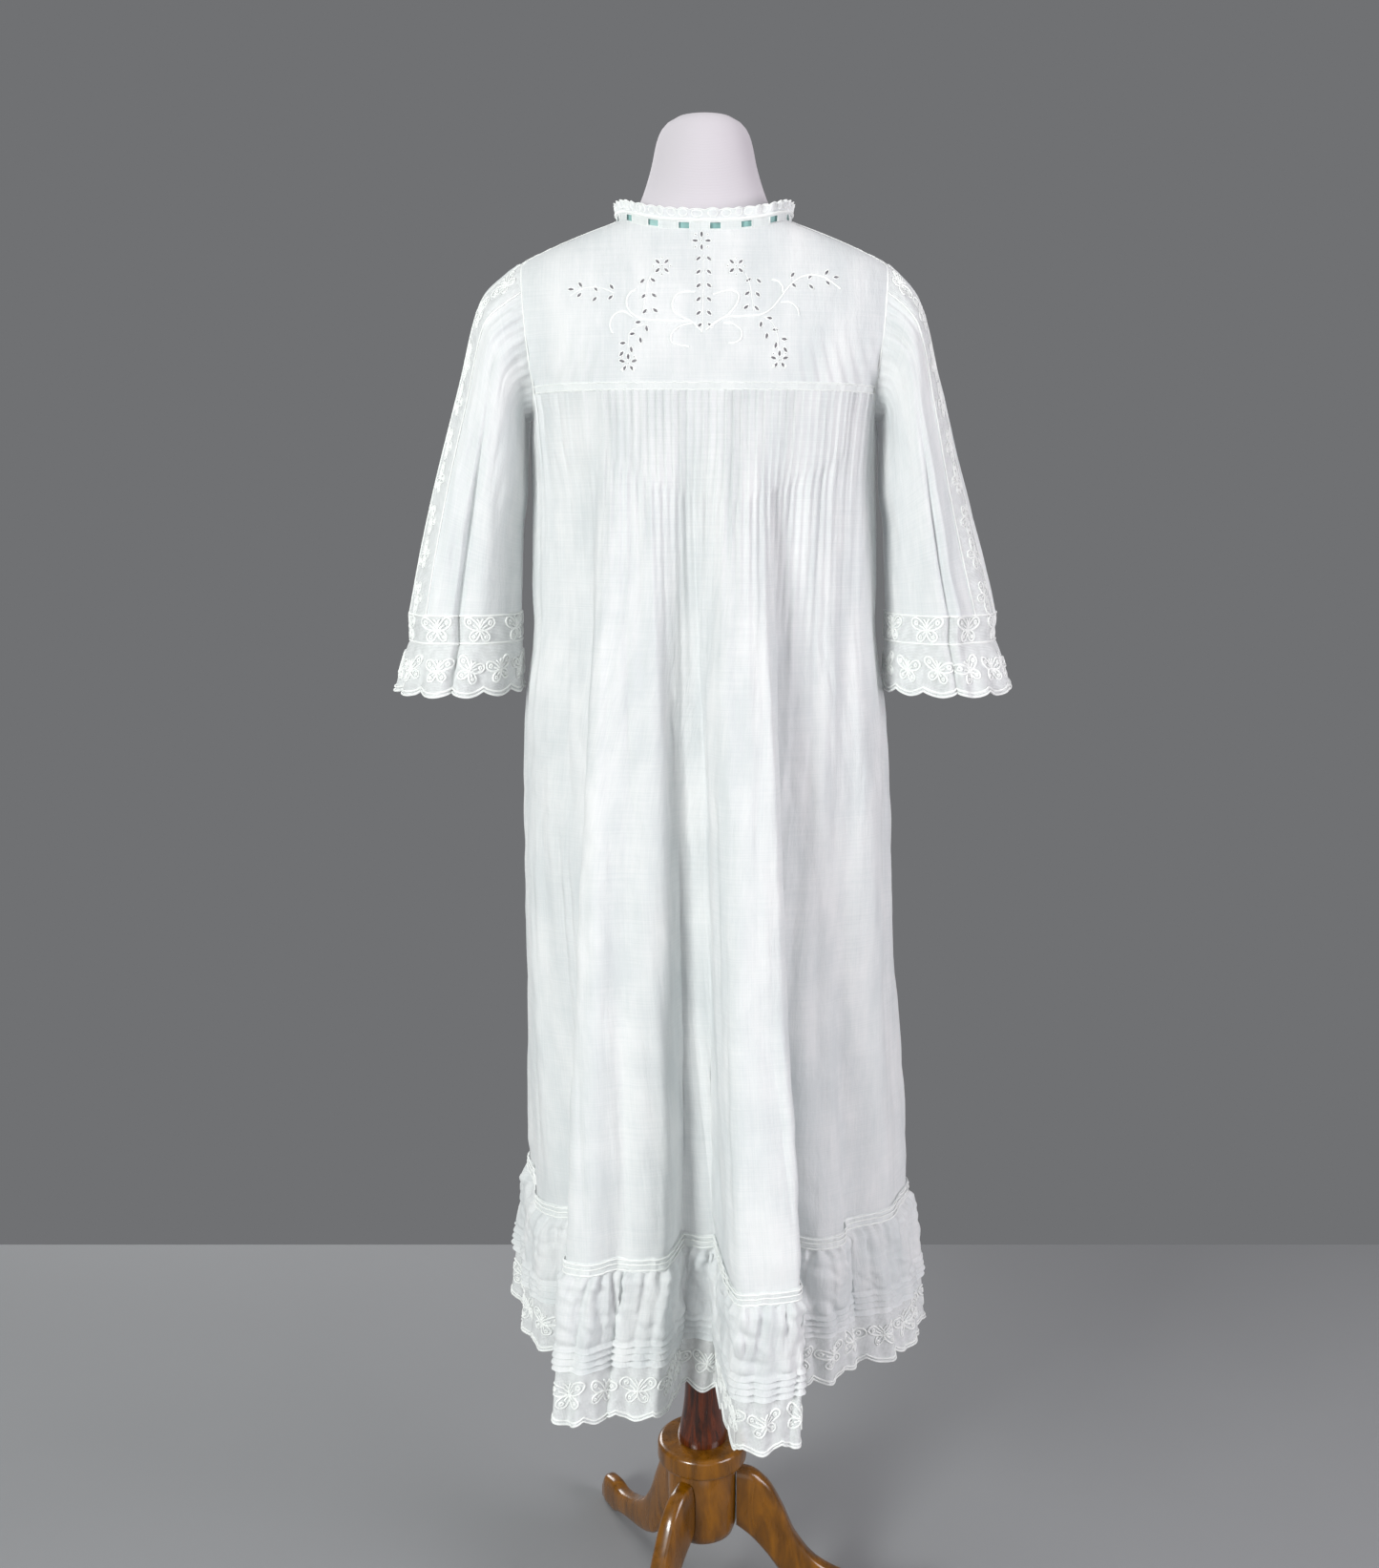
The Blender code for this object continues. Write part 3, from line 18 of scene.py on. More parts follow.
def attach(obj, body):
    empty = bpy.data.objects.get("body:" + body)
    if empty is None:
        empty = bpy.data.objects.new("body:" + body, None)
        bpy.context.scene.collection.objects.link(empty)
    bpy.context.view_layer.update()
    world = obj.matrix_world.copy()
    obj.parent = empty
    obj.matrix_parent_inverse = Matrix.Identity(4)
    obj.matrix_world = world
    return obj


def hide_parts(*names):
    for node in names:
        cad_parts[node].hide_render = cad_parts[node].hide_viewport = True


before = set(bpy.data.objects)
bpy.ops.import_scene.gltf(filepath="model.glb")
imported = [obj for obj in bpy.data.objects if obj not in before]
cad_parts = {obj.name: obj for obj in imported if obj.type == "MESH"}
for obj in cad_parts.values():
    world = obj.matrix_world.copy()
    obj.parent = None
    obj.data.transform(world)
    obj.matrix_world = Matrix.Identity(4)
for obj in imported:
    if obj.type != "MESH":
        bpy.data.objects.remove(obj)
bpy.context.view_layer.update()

# Sizes of the cut pieces, as in the solids
CLOTH = 0.0013
SEAM = 0.0004
ARMHOLE_SEAM = 0.0014
UNDERARM_EASE = 0.0015
YOKE_LINE = 1.4260
TAPE_HEIGHT = 0.0115
TAPE_SHORT = 2.6
PANEL_TOP_TURN = 1.5
PANEL_WIDTH = 0.70
FLOUNCE_TOP = 0.5600
FLOUNCE_WAVES = 48
HEM_BAND_HEIGHT = 0.0140
LACE_TOP = 0.4490
HEM = 0.3900
HEM_MIDDLE = 0.4700
SCALLOP_DEPTH = 0.0075
HEM_SCALLOPS = 56
TUCKS = 32
TUCK_FROM_X = -0.100
TUCK_TO_X = 0.143
TUCK_END_MIDDLE = 1.318
TUCK_END_SIDE = 1.362
SHOULDER_BACK = 71.0
SHOULDER_FRONT = 83.0
SHOULDER_LOW = 1.500
SEAM_TURN = 0.2
NECK_BACK = 1.5790
NECK_SIDE = 1.5945
NECK_FRONT = 1.5660
NECK_ROUND = 3.5
NECK_CORNER = 0.45
NECKBAND_HEIGHT = 0.0100
NECKBAND_BASE = -0.0010
NECKBAND_IN = 0.0025
FRILL_HEIGHT = 0.0115
FRILL_WAVES = 34
BEADING_SLOTS = 8
SLOT_PITCH = 0.0310
SLOT_WIDTH = 0.0108
FIRST_SLOT = 0.0204
CUFF_TOP = 1.1990
CUFF_BAND = 0.0285
CUFF_HEM = 1.1160
CUFF_REPEATS = 4
RUFFLE_SCALLOPS = 6
FORM_BASE = 1.0200
FORM_NECK = 1.6990
FORM_TOP = 1.7025

# Distances from one sheet to another: the middle of a sheet above the inner side of its wall, how
# far the skirt panels go under the flounce, and how far the yokes go under the tapes
SHEET = 0.0006
UNDER_FLOUNCE = 0.007
UNDER_TAPE = 0.004
YOKE_BOTTOM = YOKE_LINE + TAPE_HEIGHT / 2 - UNDER_TAPE
BAND_LOW = FLOUNCE_TOP - HEM_BAND_HEIGHT

SIDES = (("left", -1), ("right", 1))

Section = namedtuple("Section", "height half_width back front square")
BODY = [Section(*row) for row in (
    (0.380, 0.1960, 0.1620, 0.1650, 2.20),
    (0.560, 0.1950, 0.1570, 0.1600, 2.20),
    (0.820, 0.1950, 0.1480, 0.1520, 2.20),
    (0.980, 0.1930, 0.1410, 0.1460, 2.25),
    (1.080, 0.1890, 0.1360, 0.1420, 2.25),
    (1.200, 0.1760, 0.1300, 0.1370, 2.30),
    (1.330, 0.1740, 0.1230, 0.1340, 2.40),
    (1.400, 0.1760, 0.1170, 0.1280, 2.80),
    (1.425, 0.1780, 0.1150, 0.1220, 3.00),
    (1.450, 0.1880, 0.1130, 0.1160, 3.00),
    (1.478, 0.1990, 0.1080, 0.1070, 2.90),
    (1.500, 0.2060, 0.1030, 0.0980, 2.70),
    (1.530, 0.2050, 0.0920, 0.0830, 2.50),
    (1.545, 0.1980, 0.0850, 0.0740, 2.35),
    (1.556, 0.1860, 0.0800, 0.0690, 2.25),
    (1.565, 0.1680, 0.0770, 0.0670, 2.20),
    (1.575, 0.1445, 0.0745, 0.0655, 2.20),
    (1.585, 0.1180, 0.0725, 0.0645, 2.20),
    (1.592, 0.0980, 0.0710, 0.0640, 2.20),
    (1.600, 0.0800, 0.0700, 0.0640, 2.20),
)]
FORM = [Section(*row) for row in (
    (1.020, 0.1480, 0.1030, 0.1030, 2.20),
    (1.070, 0.1500, 0.1060, 0.1060, 2.20),
    (1.130, 0.1380, 0.0980, 0.1000, 2.20),
    (1.200, 0.1180, 0.0860, 0.0930, 2.20),
    (1.280, 0.1280, 0.0900, 0.1050, 2.20),
    (1.350, 0.1430, 0.0970, 0.1150, 2.20),
    (1.410, 0.1510, 0.0990, 0.1080, 2.30),
    (1.460, 0.1620, 0.0960, 0.0960, 2.50),
    (1.505, 0.1730, 0.0880, 0.0850, 2.50),
    (1.535, 0.1780, 0.0790, 0.0720, 2.40),
    (1.553, 0.1760, 0.0720, 0.0630, 2.30),
    (1.565, 0.1640, 0.0680, 0.0600, 2.20),
    (1.575, 0.1395, 0.0650, 0.0570, 2.20),
    (1.585, 0.1110, 0.0625, 0.0550, 2.20),
    (1.594, 0.0830, 0.0610, 0.0555, 2.20),
    (1.604, 0.0730, 0.0600, 0.0550, 2.10),
    (1.620, 0.0645, 0.0560, 0.0530, 2.00),
    (1.650, 0.0545, 0.0510, 0.0500, 2.00),
    (1.678, 0.0480, 0.0460, 0.0460, 2.00),
    (1.691, 0.0410, 0.0400, 0.0400, 2.00),
    (1.699, 0.0285, 0.0280, 0.0280, 2.00),
)]
Armhole = namedtuple("Armhole", "height reach")
ARMHOLE = [Armhole(*row) for row in (
    (1.400, 0.1760), (1.425, 0.1720), (1.450, 0.1750), (1.500, 0.1805), (1.540, 0.1845),
    (1.556, 0.1860),
)]
ARMHOLE_MIDDLE = (ARMHOLE[-1].height + ARMHOLE[0].height) / 2
ARMHOLE_HALF = ARMHOLE[-1].height - ARMHOLE_MIDDLE
Fold = namedtuple("Fold", "angle_top angle_hem spread_top spread_hem "
                          "rise_top rise_mid rise_low rise_hem crisp")
FOLDS = [Fold(*row) for row in (
    (-32, -22.4, 13, 12.9, 0.008, 0.042, 0.058, 0.062, 20),  # left back ridge
    (-40, -31.0, 6, 6.5, 0.005, 0.018, 0.030, 0.036, 4),  # its edge
    (-57, -50.0, 8, 9.0, 0.000, -0.014, -0.022, -0.020, 3),  # the recess beside it
    (14, 12.8, 15, 7.7, 0.011, 0.084, 0.128, 0.118, 16),  # right back ridge
    (42, 40.0, 5, 8.0, 0.000, 0.012, 0.038, 0.022, 3),  # right crease
    (62, 76.0, 16, 21.0, 0.000, 0.016, 0.033, 0.045, 3),  # right flank
    (-84, -84.0, 8, 10.0, 0.000, 0.000, -0.010, -0.004, 2),  # left side
    (-100, -103.0, 10, 11.0, 0.000, 0.004, 0.010, 0.026, 2),  # left flank
    (-128, -124.0, 10, 12.0, 0.002, 0.016, 0.030, 0.040, 3),  # left front flank
    (-152, -152.0, 11, 11.0, 0.004, 0.050, 0.084, 0.096, 5),  # left front ridge
    (163, 168.0, 11, 9.5, 0.005, 0.062, 0.104, 0.116, 6),  # right front ridge
    (130, 128.0, 12, 15.0, 0.002, 0.022, 0.040, 0.052, 3),  # right front flank
)]
FOLD_TOP = 1.400
FOLD_MIDDLE = 0.820
FOLD_LOW = 0.560
FOLD_HEM = 0.385
FOLD_START = 0.08
FOLD_SETTLED = 0.75
SOFT_CRISP = 3.0
Ripple = namedtuple("Ripple", "waves lag rise_top rise_hem")
RIPPLES = (Ripple(13, 0.6, 0.0005, 0.0030), Ripple(21, 2.1, 0.0008, 0.0018))
RIPPLE_DRIFT = 0.8
Fall = namedtuple("Fall", "share outer_x outer_z inner_x inner_z half_depth middle lean")
SLEEVE = [Fall(*row) for row in (
    (0.00, 0.1877, 1.5560, 0.1777, 1.4000, 0.0740, 0.000, 0.000),
    (0.06, 0.2015, 1.5445, 0.1860, 1.3985, 0.0770, -0.001, 0.002),
    (0.15, 0.2240, 1.5200, 0.1890, 1.3850, 0.0800, -0.003, 0.008),
    (0.35, 0.2465, 1.4380, 0.1900, 1.3380, 0.0800, -0.006, 0.008),
    (0.60, 0.2705, 1.3450, 0.1915, 1.2900, 0.0770, -0.009, 0.010),
    (0.80, 0.2890, 1.2750, 0.1935, 1.2430, 0.0750, -0.010, 0.008),
    (1.00, 0.3085, 1.1990, 0.1950, 1.1990, 0.0740, -0.010, 0.002),
)]
SLEEVE_FOLDS = (Ripple(3, 0.7, 0.0000, 0.0050), Ripple(7, 1.9, 0.0000, 0.0022))
SLEEVE_GIRTH = 0.075
SLEEVE_HELD = 0.16
SLEEVE_CREASE = 88.0
CAP_WAVES = 16
CAP_RISE = 0.0016
RUFFLE_OUTER_X = 0.3270
RUFFLE_INNER_X = 0.1945
RUFFLE_HALF_DEPTH = 0.0860
RUFFLE_WAVES = 12
RUFFLE_RISE = 0.0035
INSERTION_FROM = 303.0
INSERTION_TO = 343.0

# The yoke's openwork: leaves along each stem (start, end, bend, pairs of leaves, and whether it has
# a leaf at its tip), flowers and embroidered lines, all by x and z
Sprig = namedtuple("Sprig", "x z end_x end_z bend pairs tip")
SPRIGS = [Sprig(*row) for row in (
    (-0.001, 1.5500, -0.001, 1.4960, 0.0000, 5, False),
    (0.000, 1.4840, 0.000, 1.4740, 0.0000, 1, False),
    (-0.0560, 1.5280, -0.0535, 1.4980, 0.0000, 3, False),
    (0.0480, 1.5280, 0.0455, 1.5010, 0.0000, 3, False),
    (-0.0920, 1.5170, -0.1230, 1.5200, 0.0030, 3, True),
    (0.0870, 1.5290, 0.1210, 1.5320, -0.0030, 3, True),
    (-0.0610, 1.4840, -0.0760, 1.4640, 0.0020, 3, True),
    (0.0590, 1.4880, 0.0735, 1.4680, -0.0020, 3, True),
)]
Flower = namedtuple("Flower", "x z petals turn reach")
FLOWERS = [Flower(*row) for row in (
    (-0.003, 1.5680, 4, 0.0, 0.0064),
    (-0.0420, 1.5425, 4, 45.0, 0.0062),
    (0.0310, 1.5425, 4, 45.0, 0.0062),
    (-0.0750, 1.4480, 5, 90.0, 0.0062),
    (0.0730, 1.4510, 5, 90.0, 0.0062),
)]
STEMS = (
    ((-0.0013, 1.5530), (-0.0013, 1.5200), (-0.0023, 1.4765)),
    ((-0.0522, 1.5354), (-0.0563, 1.5244), (-0.0583, 1.5104), (-0.0604, 1.4984)),
    ((0.0400, 1.5354), (0.0440, 1.5244), (0.0462, 1.5104), (0.0475, 1.4984)),
    ((-0.1327, 1.5144), (-0.1226, 1.5204), (-0.1113, 1.5224), (-0.0991, 1.5204),
     (-0.0889, 1.5160)),
    ((-0.0553, 1.4865), (-0.0665, 1.4825), (-0.0736, 1.4765), (-0.0750, 1.4606)),
    ((0.0580, 1.4925), (0.0660, 1.4865), (0.0711, 1.4745), (0.0722, 1.4606)),
)
SATIN_LINES = (
    ((-0.0094, 1.5164), (-0.0216, 1.5168), (-0.0288, 1.5124), (-0.0318, 1.5044),
     (-0.0288, 1.4964), (-0.0216, 1.4920), (-0.0114, 1.4865), (-0.0023, 1.4775)),
    ((0.0080, 1.5144), (0.0232, 1.5184), (0.0324, 1.5154), (0.0330, 1.5084), (0.0283, 1.5004),
     (0.0212, 1.4935), (0.0110, 1.4875), (0.0008, 1.4795)),
    ((-0.0145, 1.4885), (-0.0237, 1.4881), (-0.0441, 1.4885), (-0.0604, 1.4901),
     (-0.0706, 1.4955), (-0.0757, 1.5024), (-0.0763, 1.5104), (-0.0726, 1.5164),
     (-0.0675, 1.5194)),
    ((-0.0706, 1.4925), (-0.0787, 1.4975), (-0.0859, 1.4965), (-0.0910, 1.4915),
     (-0.0926, 1.4835), (-0.0900, 1.4765)),
    ((0.0008, 1.4795), (0.0110, 1.4865), (0.0212, 1.4921), (0.0375, 1.4929), (0.0528, 1.4940),
     (0.0640, 1.4995), (0.0721, 1.5084), (0.0793, 1.5184), (0.0864, 1.5264), (0.0956, 1.5324),
     (0.1068, 1.5344), (0.1180, 1.5324), (0.1272, 1.5264), (0.1343, 1.5214)),
    ((0.0762, 1.5164), (0.0762, 1.5224), (0.0721, 1.5274), (0.0660, 1.5294)),
    ((0.0742, 1.5064), (0.0844, 1.5064), (0.0909, 1.5004), (0.0921, 1.4945)),
    ((0.0181, 1.4865), (0.0273, 1.4855), (0.0354, 1.4795), (0.0354, 1.4715), (0.0293, 1.4675),
     (0.0232, 1.4669)),
    ((-0.0114, 1.4865), (-0.0237, 1.4835), (-0.0318, 1.4765), (-0.0329, 1.4685),
     (-0.0257, 1.4655), (-0.0155, 1.4635)),
)
LEAF_LENGTH = 0.0060
LEAF_WIDTH = 0.0034
LEAF_SPLAY = 0.0052
LEAF_TURN = 48
DOT_RADIUS = 0.0008

PLACKET_HALF_WIDTH = 0.0130
PLACKET_BASE = 1.3450
PLACKET_LIFT = 0.0007
BUTTON_RADIUS = 0.0055
BUTTON_THICKNESS = 0.0022
BUTTON_GAP = 0.0005
BUTTON_HEIGHTS = (1.526, 1.473, 1.420, 1.367)
POLE_RADIUS = 0.0200
POLE_FOOT_RADIUS = 0.0285
COLLAR_RADIUS = 0.0525
COLLAR_BASE = 0.2010
COLLAR_HEIGHT = 0.0260
COLLAR_EDGE = 0.006
HUB_RADIUS = 0.0400
HUB_BASE = 0.1060
LEG_WIDTH = 0.0260
LEG_ANGLES = (0.0, 120.0, 240.0)
LEG_TAPER = 0.78
TOE_TAPER = 0.70
TOE_FROM = 0.238
TOE_LENGTH = 0.014
LegPoint = namedtuple("LegPoint", "reach upper lower")
LEG = [LegPoint(*row) for row in (
    (0.0405, 0.1900, 0.1150), (0.0580, 0.1860, 0.1000), (0.0780, 0.1700, 0.0760),
    (0.0960, 0.1380, 0.0500), (0.1120, 0.1010, 0.0330), (0.1400, 0.0660, 0.0215),
    (0.1750, 0.0470, 0.0150), (0.2050, 0.0400, 0.0070), (0.2200, 0.0430, 0.0000),
    (0.2420, 0.0400, 0.0000), (0.2520, 0.0250, 0.0000),
)]


# Smooth curves through tables

curves = {}


def along(table, column, key):
    """Values of a table's column at keys between its rows, on a smooth curve through them."""
    name = (id(table), column)
    if name not in curves:
        keys = np.array([row[0] for row in table], float)
        values = np.array([getattr(row, column) for row in table], float)
        steps = np.diff(values) / np.diff(keys)
        before, after = steps[:-1], steps[1:]
        turns = before * after > 0
        inner = np.where(turns, 2 * before * after / np.where(turns, before + after, 1.0), 0.0)
        curves[name] = (keys, values, np.concatenate([steps[:1], inner, steps[-1:]]))
    keys, values, slopes = curves[name]
    key = np.clip(key, keys[0], keys[-1])
    i = np.clip(np.searchsorted(keys, key, side="right") - 1, 0, len(keys) - 2)
    step = keys[i + 1] - keys[i]
    t = (key - keys[i]) / step
    return (
        values[i] * (2 * t**3 - 3 * t**2 + 1)
        + slopes[i] * step * (t**3 - 2 * t**2 + t)
        + values[i + 1] * (3 * t**2 - 2 * t**3)
        + slopes[i + 1] * step * (t**3 - t**2)
    )


def mix(a, b, t):
    return a + (b - a) * t


def ease(t):
    t = np.clip(t, 0.0, 1.0)
    return t * t * (3 - 2 * t)


def signed_power(value, power):
    return np.copysign(np.abs(value) ** power, value)


def turned(angle):
    return (angle + 180.0) % 360.0 - 180.0


def points_of(x, y, z):
    return np.stack(np.broadcast_arrays(x, y, z), -1)


LATTICE = 64


def soft_noise(u, v, size_u, size_v, seed):
    """Smooth irregular values from -1 to 1 over a surface, with bumps of about the given sizes."""
    lattice = np.random.default_rng(seed).uniform(-1, 1, (LATTICE, LATTICE))
    x, y = np.asarray(u) / size_u + 16.5, np.asarray(v) / size_v + 16.5
    i, j = np.floor(x).astype(int), np.floor(y).astype(int)
    s, t = ease(x - i), ease(y - j)
    i, after_i, j, after_j = i % LATTICE, (i + 1) % LATTICE, j % LATTICE, (j + 1) % LATTICE
    low = mix(lattice[i, j], lattice[after_i, j], s)
    high = mix(lattice[i, after_j], lattice[after_i, after_j], s)
    return mix(low, high, t)


# The garment's surfaces


def depth_of(table, at_back, z):
    return np.where(at_back, along(table, "back", z), along(table, "front", z))


def wall(table, angle, z):
    """Points of a section table's surface at angles from the centre back, as on an ellipse."""
    turn = np.radians(angle)
    power = 2 / along(table, "square", z)
    depth = depth_of(table, np.cos(turn) >= 0, z)
    x = along(table, "half_width", z) * signed_power(np.sin(turn), power)
    return points_of(x, -depth * signed_power(np.cos(turn), power), z)


def depth_at(x, at_back, z):
    """How deep the body is at a distance x from its middle plane."""
    power = along(BODY, "square", z)
    share = np.minimum(1.0, np.abs(x) / along(BODY, "half_width", z))
    return depth_of(BODY, at_back, z) * (1 - share**power) ** (1 / power)


def angle_at(x, z):
    """The angle at which the body's surface lies x from its middle plane."""
    share = np.clip(x / along(BODY, "half_width", z), -1.0, 1.0)
    return np.degrees(np.arcsin(signed_power(share, along(BODY, "square", z) / 2)))


def away_from_pole(points):
    """Level directions of length 1 from the middle of the body to points."""
    level = points * np.array([1.0, 1.0, 0.0])
    return level / np.linalg.norm(level, axis=-1, keepdims=True)


def fold_rise(angle, z):
    """How far the skirt's folds stand out from its oval."""
    down = np.clip((FOLD_TOP - z) / (FOLD_TOP - FOLD_HEM), 0.0, 1.0)
    heights = (FOLD_HEM, FOLD_LOW, FOLD_MIDDLE, FOLD_TOP)
    settled = np.minimum(1.0, down / FOLD_SETTLED) ** 0.8
    rise = np.zeros(np.broadcast(angle, z).shape)
    for fold in FOLDS:
        away = turned(angle - mix(fold.angle_top, fold.angle_hem, settled))
        spread = mix(fold.spread_top, fold.spread_hem, settled)
        height = np.interp(z, heights, (fold.rise_hem, fold.rise_low, fold.rise_mid, fold.rise_top))
        crisp = mix(min(SOFT_CRISP, fold.crisp), fold.crisp, settled**2)
        rise += height * np.exp(-np.abs(away / spread) ** crisp)
    for ripple in RIPPLES:
        lag = ripple.lag + RIPPLE_DRIFT * np.sin(np.radians(2 * angle))
        swing = np.sin(np.radians(ripple.waves * angle) + lag)
        rise += mix(ripple.rise_top, ripple.rise_hem, down) * swing
    return rise * ease(down / FOLD_START)


def skirt(angle, z):
    """Points of the hanging skirt at angles from the centre back."""
    turn = np.radians(angle)
    power = along(BODY, "square", z)
    depth = depth_of(BODY, np.cos(turn) >= 0, z)
    across = np.abs(np.sin(turn)) / along(BODY, "half_width", z)
    radius = (across**power + (np.abs(np.cos(turn)) / depth) ** power) ** (-1 / power)
    radius = radius + fold_rise(angle, z)
    return points_of(radius * np.sin(turn), -radius * np.cos(turn), z)


ROW_SAMPLES = 360
BEND_WEIGHT = 1.2
TABLE_STEP = 0.004
TABLE_SPARE = 0.012


def row_lengths(points):
    """Length reached at each point of the last axis but one."""
    steps = np.linalg.norm(np.diff(points, axis=-2), axis=-1)
    start = np.zeros((*steps.shape[:-1], 1))
    return np.concatenate([start, np.cumsum(steps, axis=-1)], axis=-1)


def bend_shares(z, first, count):
    """Shares of a row's length round half the skirt, closer together where the row bends."""
    steps = np.diff(skirt(np.linspace(first, first + 180.0, ROW_SAMPLES), z), axis=0)
    lengths = np.linalg.norm(steps, axis=1)
    bends = np.abs(np.gradient(np.unwrap(np.arctan2(steps[:, 1], steps[:, 0]))))
    weights = lengths / lengths.sum() + BEND_WEIGHT * bends / bends.sum()
    reached = np.concatenate([[0.0], np.cumsum(weights)]) / weights.sum()
    shares = np.concatenate([[0.0], np.cumsum(lengths)]) / lengths.sum()
    return np.interp(np.linspace(0, 1, count), reached, shares)


angle_tables = {}


def angle_along(z, share, first):
    """Angles at shares of the cloth's length round one half of the skirt."""
    if first not in angle_tables:
        heights = np.arange(HEM - TABLE_SPARE, YOKE_LINE + TABLE_SPARE, TABLE_STEP)
        angles = np.linspace(first, first + 180.0, ROW_SAMPLES)
        lengths = row_lengths(skirt(angles[None, :], heights[:, None]))
        even = np.linspace(0, 1, ROW_SAMPLES)
        table = np.array([np.interp(even, row / row[-1], angles) for row in lengths])
        angle_tables[first] = (heights, table)
    heights, table = angle_tables[first]
    row = np.clip((z - heights[0]) / TABLE_STEP, 0, len(heights) - 1.001)
    column = np.clip(share, 0, 1) * (ROW_SAMPLES - 1)
    i = row.astype(int)
    j = np.minimum(column.astype(int), ROW_SAMPLES - 2)
    s, t = column - j, row - i
    low, high = mix(table[i, j], table[i, j + 1], s), mix(table[i + 1, j], table[i + 1, j + 1], s)
    return mix(low, high, t)


def hem_place(share, z):
    """Points round the whole hem. share runs from the left side seam by the back."""
    half = 2 * (share % 1.0)
    back, front = angle_along(z, half, -90.0), angle_along(z, half - 1.0, 90.0)
    return skirt(np.where(half < 1.0, back, front), z)


def armhole_point(phi, side, away=0.0):
    """Points of the armhole seam. phi is 0 at the shoulder, 90 at the back, 180 under the arm."""
    turn = np.radians(phi)
    z = ARMHOLE_MIDDLE + ARMHOLE_HALF * np.cos(turn)
    x = along(ARMHOLE, "reach", z)
    y = -np.copysign(depth_at(x, np.sin(turn) >= 0, z), np.sin(turn))
    return points_of(side * (x + away), y, z)


def armhole_angle(z):
    return angle_at(along(ARMHOLE, "reach", z), z)


def armhole_height(angle):
    """Height at which the armhole seam crosses an angle on the shoulder."""
    heights = np.linspace(SHOULDER_LOW, ARMHOLE[-1].height, 200)
    return np.interp(angle, armhole_angle(heights), heights)


def neck_height(angle):
    lean = np.cos(np.radians(angle))
    middle = np.where(lean > 0, NECK_BACK, NECK_FRONT)
    return mix(NECK_SIDE, middle, np.abs(lean) ** NECK_ROUND)


def neck_place(angle, up, inwards):
    """Points above the neckline seam, set in from it towards the neck."""
    point = wall(BODY, angle, neck_height(angle))
    inwards, up = np.broadcast_arrays(inwards, up)
    return point - away_from_pole(point) * inwards[..., None] + points_of(0.0, 0.0, up)


def calmed(wave, turn):
    """A sleeve's waves, smaller where it lies against the body."""
    return np.where(np.cos(turn) < 0, wave * (1 + 0.9 * np.cos(turn)), wave)


def oval(outer_x, inner_x, outer_z, inner_z):
    """Middle and half size of a sleeve's section, across and up."""
    return ((outer_x + inner_x) / 2, (outer_x - inner_x) / 2,
            (outer_z + inner_z) / 2, (outer_z - inner_z) / 2)


def sleeve_place(phi, share, side):
    """Points of a sleeve. phi is 0 at the outer edge, 90 at the back. share runs down."""
    row = {column: along(SLEEVE, column, share) for column in Fall._fields[1:]}
    turn = np.radians(phi)
    across, out_x, up, out_z = oval(row["outer_x"] - side * row["lean"] / 2, row["inner_x"],
                                    row["outer_z"], row["inner_z"])
    wave = sum(mix(fold.rise_top, fold.rise_hem, ease(share * 1.3))
               * np.sin(fold.waves * turn + fold.lag + side) for fold in SLEEVE_FOLDS)
    cap = ease(share / 0.06) * ease((0.30 - share) / 0.24)
    wave = calmed(wave + CAP_RISE * np.sin(CAP_WAVES * turn) * cap, turn)
    reach = np.cos(turn) * (1 + wave / SLEEVE_GIRTH)
    depth = (row["half_depth"] + wave) * np.sin(turn)
    loose = points_of(side * (across + out_x * reach), row["middle"] - depth, up + out_z * reach)
    seam = SLEEVE[0]
    across, out_x, up, out_z = oval(seam.outer_x, seam.inner_x, seam.outer_z, seam.inner_z)
    plain = points_of(side * (across + out_x * np.cos(turn)), -seam.half_depth * np.sin(turn),
                      up + out_z * np.cos(turn))
    away = ARMHOLE_SEAM + UNDERARM_EASE * (1 - np.cos(turn)) / 2
    held = ease(1 - share / SLEEVE_HELD)
    return loose + (armhole_point(phi, side, away) - plain) * np.asarray(held)[..., None]


def cuff_place(phi, z, side):
    """Points of the lace at a sleeve's end: a band, then a ruffle that flares."""
    turn = np.radians(phi)
    z = np.asarray(z, float)
    band = sleeve_place(phi, np.ones_like(z), side)
    band[..., 2] = z
    band_low = CUFF_TOP - CUFF_BAND
    flare = np.clip((band_low - z) / (band_low - CUFF_HEM), 0.0, 1.0)
    wave = calmed(RUFFLE_RISE * np.sin(RUFFLE_WAVES * turn + side), turn)
    middle_x = (RUFFLE_OUTER_X + RUFFLE_INNER_X) / 2
    out_x = (RUFFLE_OUTER_X - RUFFLE_INNER_X) / 2 + wave
    end = points_of(side * (middle_x + out_x * np.cos(turn)),
                    SLEEVE[-1].middle - (RUFFLE_HALF_DEPTH + wave) * np.sin(turn), z)
    return mix(band, end, (flare**0.8)[..., None])


def body_core(points):
    return points * np.array([0.0, 0.0, 1.0])


def sleeve_core(side):
    def core(points):
        down = (SLEEVE[0].outer_z - points[..., 2]) / (SLEEVE[0].outer_z - CUFF_TOP)
        return points_of(side * mix(0.190, 0.250, ease(down * 1.3)), -0.008, points[..., 2])

    return core


# A seat is a surface that cloth or thread lies on: its points by two coordinates, small moves of
# the two that show its slope, and the line inside it that its outer side looks away from
Seat = namedtuple("Seat", "place steps core", defaults=(body_core,))


